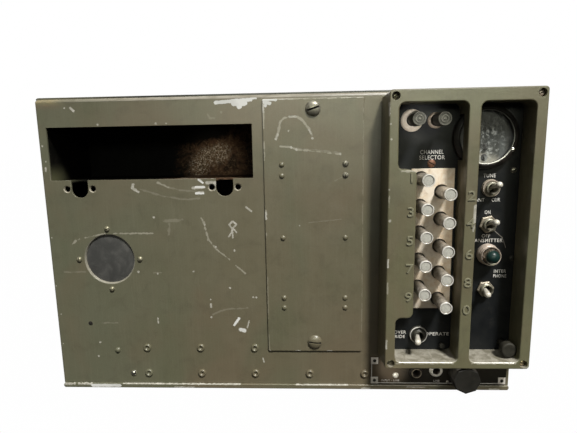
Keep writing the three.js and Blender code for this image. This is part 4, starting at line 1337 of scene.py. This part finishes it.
def build_buttons():
    for index in range(1, 11):
        node = "channel_button_%d" % index
        spot = middle(node)
        low, high = span(node)
        radius = (high.x - low.x) / 2
        front = low.y
        body = "button_%d" % index
        barrel = [
            (radius - 1.15, front + 1.1), (radius - 1.15, front + 0.35), (radius - 0.7, front),
            (radius - 0.25, front + 0.1),
            (radius, front + 0.5), (radius, front + 1.5), (radius - 0.25, front + 1.8),
            (radius - 0.25, front + 2.3),
            (radius, front + 2.6), (radius, 6), (2.6, 6), (2.6, high.y), (1.6, high.y), (1.6, front + 1.1),
            (radius - 1.15, front + 1.1),
        ]
        piece(node + "_barrel", turned(barrel, spot.x, spot.z, 48), BUTTON_SIDE, body,
              (node,))
        rim = [
            (radius - 1.0, front + 0.9), (radius - 1.0, front + 0.25), (radius - 0.8, front),
            (radius - 0.25, front + 0.02),
            (radius + 0.02, front + 0.3), (radius + 0.04, front + 1.5), (radius - 0.3, front + 1.6),
            (radius - 1.0, front + 0.9),
        ]
        piece(node + "_rim", turned(rim, spot.x, spot.z, 48), RIM_BRIGHT, body)
        lens = [(0, front + 0.5), (2.4, front + 0.52), (radius - 1.5, front + 0.6),
                (radius - 1.35, front + 1.05), (0, front + 1.05)]
        piece(node + "_face", turned(lens, spot.x, spot.z, 40), FROSTED, body)


def build_posts():
    face = PANEL_FACE
    for index in (1, 2):
        base, cap = "binding_post_base_%d" % index, "binding_post_cap_%d" % index
        spot = middle(base)
        base_low, base_high = span(base)
        cap_low, cap_high = span(cap)
        flange = (base_high.x - base_low.x) / 2
        washer = [(0, face - 2.6), (flange - 1.2, face - 2.6), (flange, face - 1.5), (flange, face - 0.3),
                  (0, face - 0.3)]
        fibre = (FIBRE_TAN, FIBRE_BROWN)[index - 1]
        piece(base + "_washer", turned(softened(washer, 0.6), spot.x, spot.z, 56), fibre,
              stands_for=(base,))
        collar = [
            (0, base_low.y), (2.2, base_low.y), (2.2, -9.3), (5.0, -8.6), (5.0, -7.6), (4.4, -7.2),
            (4.4, -6.4), (5.2, -6.0),
            (5.2, face - 2.6), (0, face - 2.6),
        ]
        piece(base + "_collar", turned(softened(collar, 0.3), spot.x, spot.z, 40), BAKELITE)
        stud = [(0, face - 0.3), (3, face - 0.3), (3, base_high.y), (0, base_high.y)]
        piece(base + "_stud", turned(stud, spot.x, spot.z, 24), BRASS)
        y = cap_low.y
        radius = (cap_high.x - cap_low.x) / 2
        shape = [
            (0, y + 0.2), (0.9, y + 0.25), (1.1, y + 0.7), (2.2, y + 0.75), (2.5, y + 0.3), (3.6, y + 0.3),
            (3.8, y + 0.7), (4.4, y + 0.7),
            (4.6, y + 0.1), (radius - 0.6, y), (radius - 0.1, y + 0.6), (radius - 0.1, cap_high.y - 4),
            (4.6, cap_high.y - 3),
            (4.4, cap_high.y), (2.5, cap_high.y), (2.5, y + 5), (0, y + 5),
        ]
        grooved = (10, 11)
        knurl = turned(shape, spot.x, spot.z, 64, lambda i, side: 0.92 if i in grooved and side % 2 else 1)
        piece(cap + "_knurled", knurl, POST_GREY, "post_cap_%d" % index, (cap,))
        hub = turned([(0, y + 0.05), (0.9, y + 0.15), (1.1, y + 0.5), (0, y + 0.5)], spot.x, spot.z, 20)
        rings = [turned([(r - 0.3, y + 0.4), (r - 0.2, y + 0.02), (r + 0.1, y + 0.02), (r + 0.3, y + 0.45),
                         (r - 0.3, y + 0.4)],
                        spot.x, spot.z, 48) for r in (2.9, radius - 0.6)]
        piece(cap + "_rings", merged(hub, *rings), RING_GREY, "post_cap_%d" % index)


def build_meter():
    spot = middle("meter_dial")
    case_low, case_high = span("meter_case")
    dial_low, dial_high = span("meter_dial")
    flange = (case_high.x - case_low.x) / 2
    radius = (dial_high.x - dial_low.x) / 2
    shell = [
        (radius + 0.6, case_low.y + 1.2), (radius + 1.4, case_low.y + 0.1), (flange - 2.4, case_low.y + 0.7),
        (flange - 0.4, case_low.y + 2.4), (flange, case_low.y + 4.5), (flange, PANEL_FACE - 0.3),
        (26.2, PANEL_FACE - 0.3),
        (26.2, case_high.y), (0, case_high.y), (0, dial_high.y + 0.2), (radius + 0.6, dial_high.y + 0.2),
    ]
    ring = turned([*shell, shell[0]], spot.x, spot.z, 96)
    piece("meter_shell", ring, BAKELITE, stands_for=("meter_case",))
    bezel = [(radius - 0.4, case_low.y + 1.6), (radius - 0.2, case_low.y + 0.9),
             (radius + 0.35, case_low.y + 0.8),
             (radius + 0.5, case_low.y + 1.7), (radius - 0.4, case_low.y + 1.6)]
    piece("meter_ring", turned(bezel, spot.x, spot.z, 96), BEZEL)
    disc = [(0, dial_low.y), (radius, dial_low.y), (radius, dial_high.y), (0, dial_high.y)]
    piece("meter_face", turned(disc, spot.x, spot.z, 72), DIAL, stands_for=("meter_dial",))
    glass_low, glass_high = span("meter_glass")
    pane = [(0, glass_low.y), (radius * 0.7, glass_low.y + 0.1), (radius, glass_low.y + 0.4),
            (radius, glass_high.y), (0, glass_high.y)]
    piece("meter_pane", turned(pane, spot.x, spot.z, 72), METER_PANE,
          stands_for=("meter_glass",))

    hub_z = spot.z - 9
    face = dial_low.y
    ticks = []
    scale_radius = 24.5
    for k in range(21):
        angle = -45 + 90 * k / 20
        long = 3.0 if k % 5 == 0 else 1.7
        tick = block(spot.x - 0.16, face - 0.06, hub_z + scale_radius - long, spot.x + 0.16, face + 0.02,
                     hub_z + scale_radius)
        ticks.append(spun(tick, spot.x, 0, hub_z, angle, "Y"))
    for k, text in enumerate(("0", "2", "4", "6", "8")):
        angle = math.radians(-42 + 21 * k)
        ticks.append(lettering(text, spot.x + 19.4 * math.sin(angle), hub_z + 19.4 * math.cos(angle),
                               face + 0.02, 2.6, 0.08))
    piece("meter_scale", merged(*ticks), BAKELITE)
    adjust = slotted_screw(spot.x, spot.z - 18.4, face + 0.02, 3.1, 1.3, 20, 0.7)
    piece("meter_zero_screw", adjust, (BAKELITE, GROOVE_DARK))

    needle_low, needle_high = span("meter_needle")
    mid = (needle_low.y + needle_high.y) / 2
    pointer = merged(turned([(0, mid - 0.45), (2.4, mid - 0.45), (2.4, mid + 0.45), (0, mid + 0.45)],
                            spot.x, hub_z, 28),
                     block(spot.x - 0.25, mid - 0.15, hub_z, spot.x + 0.25, mid + 0.15, hub_z + 24.6))
    piece("meter_pointer", spun(pointer, spot.x, 0, hub_z, -45, "Y"), BAKELITE,
          "meter_needle", ("meter_needle",))


def build_toggles():
    face = PANEL_FACE
    looks = {1: (8.1, 36, 1.0), 2: (8.6, 6, 1.0), 3: (8.1, 6, 1.25), 4: (8.6, 48, 1.25)}
    throws = {1: ("X", -12), 2: ("X", -12), 3: ("Z", -12), 4: ("Z", -12)}
    for index in (1, 2, 3, 4):
        node, lever = "toggle_body_%d" % index, "toggle_lever_%d" % index
        low, high = span(node)
        x, z = middle(node).x, middle(node).z
        size, sides, stout = looks[index]
        if sides == 6:
            nut = turned([(4.6, -4.9), (size - 1.0, -4.9), (size, -4.3), (size, face - 0.9),
                          (4.6, face - 0.9), (4.6, -4.9)],
                         x, z, 6, phase=math.radians(14 if index == 2 else 8), smooth=False)
        else:
            knurl = lambda i, side: 0.955 if side % 2 and i in (2, 3) else 1
            nut = turned([(4.6, -4.6), (size - 0.9, -4.9), (size, -4.2), (size, face - 0.9),
                          (4.6, face - 0.9), (4.6, -4.6)],
                         x, z, 72, knurl)
        reach = size - 1.4 if sides == 6 else size + 0.2
        washer = turned(softened([(4.6, face - 0.9), (reach, face - 0.85), (reach + 0.1, face - 0.3),
                                  (4.6, face - 0.25), (4.6, face - 0.9)], 0.1),
                        x, z, 48)
        piece(node + "_nut", merged(nut, washer), POST_GREY if index == 4 else NUT_GREY)
        if sides != 6:
            edge = [(size - 0.9, -4.6), (size - 0.85, -5.0), (size - 0.4, -5.0), (size - 0.1, -4.5),
                    (size - 0.9, -4.6)]
            piece(node + "_nut_edge", turned(edge, x, z, 64), RIM_BRIGHT if index == 4 else LAMP_TAN)
        bore = 4.3
        threads = [(bore, low.y + 0.7), (bore + 0.5, low.y), (5.3, low.y + 0.1)]
        y = low.y + 0.4
        while y < -4.6:
            threads += [(5.75, y), (5.35, y + 0.35)]
            y += 0.7
        threads += [(5.6, 2.4), (8.4, 2.6), (8.4, high.y), (0, high.y), (0, 6), (bore, 6)]
        piece(node + "_bushing", turned([*threads, threads[0]], x, z, 48),
              POST_GREY if index == 4 else CAP_GREY, stands_for=(node,))
        pivot = 1.0
        bat = [
            (0, -24), (1.3, -23.8), (2.4, -22.9), (2.9, -21.4), (2.85, -20.0), (2.2 * stout, -16.5),
            (1.75 * stout, -11),
            (1.6 * stout, -7), (1.55, -1.8), (2.7, -0.6), (2.7, 2.4), (1.6, 3.6), (0, 3.8),
        ]
        stick = turned(softened(bat, 0.5), x, z, 32)
        axis, degrees = throws[index]
        piece(lever + "_bat", spun(stick, x, pivot, z, degrees, axis), LEVER_CREAM,
              "lever_%d" % index, (lever,))


def build_lamp():
    x, z = middle("pilot_lamp_body").x, middle("pilot_lamp_body").z
    low, high = span("pilot_lamp_body")
    face = PANEL_FACE - 0.3
    shape = [
        (8.3, low.y + 0.7), (8.5, low.y + 0.1), (9.0, low.y), (9.2, low.y + 0.8), (9.1, low.y + 2.0),
        (8.8, low.y + 2.3),
        (8.8, low.y + 2.9), (9.3, low.y + 3.3), (9.3, low.y + 5.4), (9.7, low.y + 5.9), (10.1, low.y + 7.0),
        (10.2, face), (7, face),
        (7, high.y), (0, high.y), (0, 20), (5.6, 20), (5.6, -4), (7.9, -7.6), (8.3, low.y + 0.7),
    ]
    piece("lamp_housing", turned(shape, x, z, 64), LAMP_TAN,
          stands_for=("pilot_lamp_body",))
    jewel_low, jewel_high = span("pilot_lamp_jewel")
    front = jewel_low.y
    dome = [(6.1 * math.sin(t), front + 5.2 * (1 - math.cos(t)))
            for t in (0, 0.25, 0.5, 0.75, 1.0, 1.25, 1.5)]
    dome += [(6.2, front + 6.2), (5.2, -4.4), (5.2, jewel_high.y), (0, jewel_high.y)]
    piece("lamp_jewel_green", turned(dome, x, z, 48), JEWEL, "lamp_jewel",
          ("pilot_lamp_jewel",))
    collar = [(6.15, front + 4.6), (6.6, front + 4.5), (6.9, front + 5.2), (6.9, -7.4), (5.6, -6.6),
              (6.15, front + 4.6)]
    piece("lamp_jewel_collar", turned(collar, x, z, 48), NICKEL, "lamp_jewel")


def build_jacks():
    for side, finish in (("left", BAKELITE), ("right", RIM_BRIGHT)):
        node = "phone_jack_" + side
        spot = middle(node)
        low, high = span(node)
        y = low.y
        barrel = [
            (3.6, y + 0.6), (4.0, y), (4.9, y + 0.1), (5.1, y + 0.6), (5.1, y + 1.2), (5.6, y + 1.4),
            (6.4, y + 1.6), (6.5, y + 2.2),
            (6.5, PANEL_FACE - 0.3), (4.6, PANEL_FACE - 0.3), (4.6, high.y), (0, high.y), (0, high.y - 3),
            (3.6, high.y - 3), (3.6, y + 0.6),
        ]
        piece("jack_bushing_" + side, turned(barrel, spot.x, spot.z, 48), finish,
              stands_for=(node,))
        rings = [
            turned([(r - 0.5, y + depth + 0.35), (r - 0.45, y + depth), (r + 0.35, y + depth - 0.05),
                    (r + 0.45, y + depth + 0.4),
                    (r - 0.5, y + depth + 0.35)], spot.x, spot.z, 48)
            for r, depth in ((4.5, 0.0), (6.0, 1.55))
        ]
        if side == "left":
            rings.pop().free()
        # A dark lining inside the jack's bore: painted shade in the hole.
        shade_sleeve = turned([(3.35, y + 1.0), (3.62, y + 0.9), (3.62, high.y - 3), (3.35, high.y - 3),
                         (3.35, y + 1.0)], spot.x, spot.z, 40)
        piece("jack_shade_sleeve_" + side, shade_sleeve, BAKELITE)
        piece("jack_rings_" + side, merged(*rings), RIM_BRIGHT if side == "right" else NUT_GREY)


def build_knobs():
    spot = middle("octagonal_knob")
    low, high = span("octagonal_knob")
    flats = 24.2
    reach = flats / 2 / math.cos(math.pi / 8)
    outline = circle(spot.x, spot.z, reach, 8, math.pi / 8 + math.radians(19))
    cap = plate(outline, [], low.y, -6, 0.9, 0.8)
    skirt = turned([(0, -6.3), (9, -6.3), (9, -2.6), (3.4, -2.6), (3.4, high.y), (0, high.y)], spot.x,
                   spot.z, 40)
    piece("octagonal_knob_cap", merged(cap, skirt), KNOB_BLACK, "octagonal_knob",
          ("octagonal_knob",), 25)

    spot = middle("trimmer_knob")
    low, high = span("trimmer_knob")
    r = (high.x - low.x) / 2 + 0.3
    shape = softened([(0, low.y + 0.5), (2, low.y + 0.4), (r - 1.0, low.y), (r, low.y + 0.9), (r, -14.2),
                      (r - 1.2, -13.2), (3.1, -13.2),
                      (3.1, -3), (2.9, -3), (2.9, high.y), (0, high.y)], 0.7)
    piece("trimmer_knob_cap", turned(shape, spot.x, spot.z, 48), KNOB_BROWN,
          "trimmer_knob", ("trimmer_knob",))


def build_rear_connector():
    spot = middle("rear_connector")
    low, high = span("rear_connector")
    y = high.y
    cup = [
        (0, low.y), (14, low.y), (14, CASE_DEPTH + 0.3), (18, CASE_DEPTH + 0.3), (18, y - 1.6),
        (17.4, y - 1), (13.4, y - 0.9),
        (12.8, y), (11.4, y), (11, y - 0.5), (11, CASE_DEPTH - 20), (0, CASE_DEPTH - 20),
    ]
    piece("rear_socket_shell", turned(cup, spot.x, spot.z, 56), NICKEL,
          stands_for=("rear_connector",))
    pins = []
    for k in range(6):
        angle = 2 * math.pi * k / 6
        pins.append(turned([(0, CASE_DEPTH - 20), (1.2, CASE_DEPTH - 20), (1.2, CASE_DEPTH - 8),
                            (0, CASE_DEPTH - 7.4)],
                           spot.x + 6.2 * math.cos(angle), spot.z + 6.2 * math.sin(angle), 16))
    piece("rear_socket_pins", merged(*pins), BRASS)


def finish_inside():
    """The pieces inside keep their CAD shape and get their finish."""
    insides = {
        "button_bank_frame": NICKEL, "chassis_deck": NICKEL, "dynamotor_frame": PANEL_BLACK,
        "dynamotor_armature": COPPER,
        "vacuum_tube_1": TUBE_GLASS, "vacuum_tube_2": TUBE_GLASS, "vacuum_tube_3": TUBE_GLASS,
        "power_transformer": PANEL_BLACK,
        "tuning_capacitor_frame": NICKEL, "tuning_capacitor_rotor": BRASS,
    }
    for node, material in insides.items():
        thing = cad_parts[node]
        thing.data.materials.clear()
        thing.data.materials.append(material)


build_front_sheet()
build_inspection_disc()
build_case_shell()
build_top_and_back()
side_rivets()
build_bay()
build_cover()
build_guard()
build_panels()
build_letters()
build_buttons()
build_posts()
build_meter()
build_toggles()
build_lamp()
build_jacks()
build_knobs()
build_rear_connector()
finish_inside()

# ---------------------------------------------------------------------------
# Stage, light and camera
# ---------------------------------------------------------------------------


def stage_floor():
    mesh = bmesh.new()
    bmesh.ops.create_grid(mesh, x_segments=1, y_segments=1, size=12)
    data = bpy.data.meshes.new("stage_floor")
    mesh.to_mesh(data)
    mesh.free()
    finish = Finish("floor_pale")
    finish.set("Base Color", (0, 0, 0))
    finish.set("Roughness", 0.9)
    finish.set("Emission Color", finish.mix(finish.noise(400, 2), (0.99, 0.99, 0.99), (1, 1, 1)))
    finish.shader.inputs["Emission Strength"].default_value = 1.0
    finish.shader.inputs["Specular IOR Level"].default_value = 0.0
    data.materials.append(finish.material)
    floor = bpy.data.objects.new("stage_floor", data)
    floor.location = (0, 0, -0.0005)
    floor.visible_diffuse = False
    floor.visible_glossy = False
    bpy.context.scene.collection.objects.link(floor)


def light(name, kind, energy, where, towards, colour=(1, 1, 1), **settings):
    lamp = bpy.data.lights.new(name, kind)
    lamp.energy = energy
    lamp.color = colour
    for key, value in settings.items():
        setattr(lamp, key, value)
    thing = bpy.data.objects.new(name, lamp)
    thing.location = where
    thing.rotation_euler = (Vector(towards) - Vector(where)).to_track_quat("-Z", "Y").to_euler()
    thing.visible_camera = False
    bpy.context.scene.collection.objects.link(thing)
    return thing


def set_lights():
    key_from = Vector((14.4, -26, 38.6)).normalized()
    centre = Vector((0, 0, 0.15))
    light("key_sun", "SUN", 4.8, centre + key_from * 3, centre, (1, 0.99, 0.96), angle=math.radians(9))
    top_edge = Vector((0, -0.155, 0.29))
    sheen_from = top_edge + Vector((0.25, -1.6, 0.36))
    strip = light("sheen_strip", "AREA", 11.0, sheen_from, top_edge, (0.97, 1, 0.78), shape="RECTANGLE",
                  size=1.5, size_y=0.22)
    strip.visible_diffuse = False
    light("bay_glow", "SPOT", 0.07, place(158, 8, 256), place(150, 82, 230), (1, 0.9, 0.74),
          spot_size=math.radians(64), spot_blend=1.0, shadow_soft_size=0.003)
    light("post_glow", "SPOT", 6.0, place(300, -500, 225), place(362, -3, 265), (1, 0.98, 0.94),
          spot_size=math.radians(5.2), spot_blend=0.7, shadow_soft_size=0.004)
    light("plate_glow", "AREA", 0.0035, place(396.2, -13, 155), place(372, -2, 155), (1, 0.9, 0.74),
          shape="RECTANGLE", size=0.012, size_y=0.125)
    light("label_glow", "AREA", 0.0095, place(398, -19, 34.5), place(398, 2, 12), (1, 0.94, 0.84),
          shape="RECTANGLE", size=0.115, size_y=0.008)
    light("label_spot", "SPOT", 6.5, place(262, -500, 8), place(342, -1, 24), (1, 0.97, 0.92),
          spot_size=math.radians(4.2), spot_blend=0.8, shadow_soft_size=0.004)
    light("rear_fill", "AREA", 14.0, Vector((-0.9, 1.7, 0.9)), Vector((0, 0.16, 0.15)), (1, 0.97, 0.92),
          shape="RECTANGLE", size=1.2, size_y=1.2)
    world = bpy.data.worlds.new("studio")
    bpy.context.scene.world = world
    world.use_nodes = True
    nodes, links = world.node_tree.nodes, world.node_tree.links
    nodes.clear()
    output = nodes.new("ShaderNodeOutputWorld")
    seen = nodes.new("ShaderNodeBackground")
    seen.inputs["Color"].default_value = (1, 1, 1, 1)
    seen.inputs["Strength"].default_value = 1.0
    lit = nodes.new("ShaderNodeBackground")
    lit.inputs["Color"].default_value = (1, 0.97, 0.9, 1)
    height = nodes.new("ShaderNodeSeparateXYZ")
    links.new(nodes.new("ShaderNodeTexCoord").outputs["Generated"], height.inputs[0])
    grade = nodes.new("ShaderNodeMapRange")
    grade.interpolation_type = "SMOOTHSTEP"
    for number, socket in zip((-0.3, 1.0, 0.04, 0.44), list(grade.inputs)[1:5]):
        socket.default_value = number
    links.new(height.outputs[2], grade.inputs[0])
    links.new(grade.outputs[0], lit.inputs["Strength"])
    choose = nodes.new("ShaderNodeMixShader")
    path_node = nodes.new("ShaderNodeLightPath")
    links.new(path_node.outputs["Is Camera Ray"], choose.inputs[0])
    links.new(lit.outputs[0], choose.inputs[1])
    links.new(seen.outputs[0], choose.inputs[2])
    links.new(choose.outputs[0], output.inputs["Surface"])


CAMERA_AT = (257.7, -411.7, 245.0)
CAMERA_TURNS = (9.126, -1.022, 2.603)
SENSOR_WIDTH = 36
FOCAL_LENGTH = 27.0156


def set_camera():
    """Eye level just below the case's top, a little right of the middle, looking slightly down. The
    turns are pitch, roll and yaw in degrees, and the sensor and focal length are in millimetres."""
    pitch, roll, yaw = (math.radians(a) for a in CAMERA_TURNS)
    turn = Matrix(((math.cos(yaw), math.sin(yaw), 0), (-math.sin(yaw), math.cos(yaw), 0), (0, 0, 1)))
    nod = Matrix(((1, 0, 0), (0, math.cos(pitch), -math.sin(pitch)), (0, math.sin(pitch), math.cos(pitch))))
    lean = Matrix(((math.cos(roll), 0, math.sin(roll)), (0, 1, 0), (-math.sin(roll), 0, math.cos(roll))))
    right, forward, up = lean @ nod @ turn
    basis = Matrix((right, up, -forward)).transposed()
    camera = bpy.data.cameras.new("camera")
    camera.sensor_width = SENSOR_WIDTH
    camera.lens = FOCAL_LENGTH
    camera.clip_start = 0.01
    thing = bpy.data.objects.new("camera", camera)
    thing.matrix_world = Matrix.Translation(place(*CAMERA_AT)) @ basis.to_4x4()
    bpy.context.scene.collection.objects.link(thing)
    bpy.context.scene.camera = thing


stage_floor()
set_lights()
set_camera()
bpy.context.scene.view_settings.view_transform = "Standard"
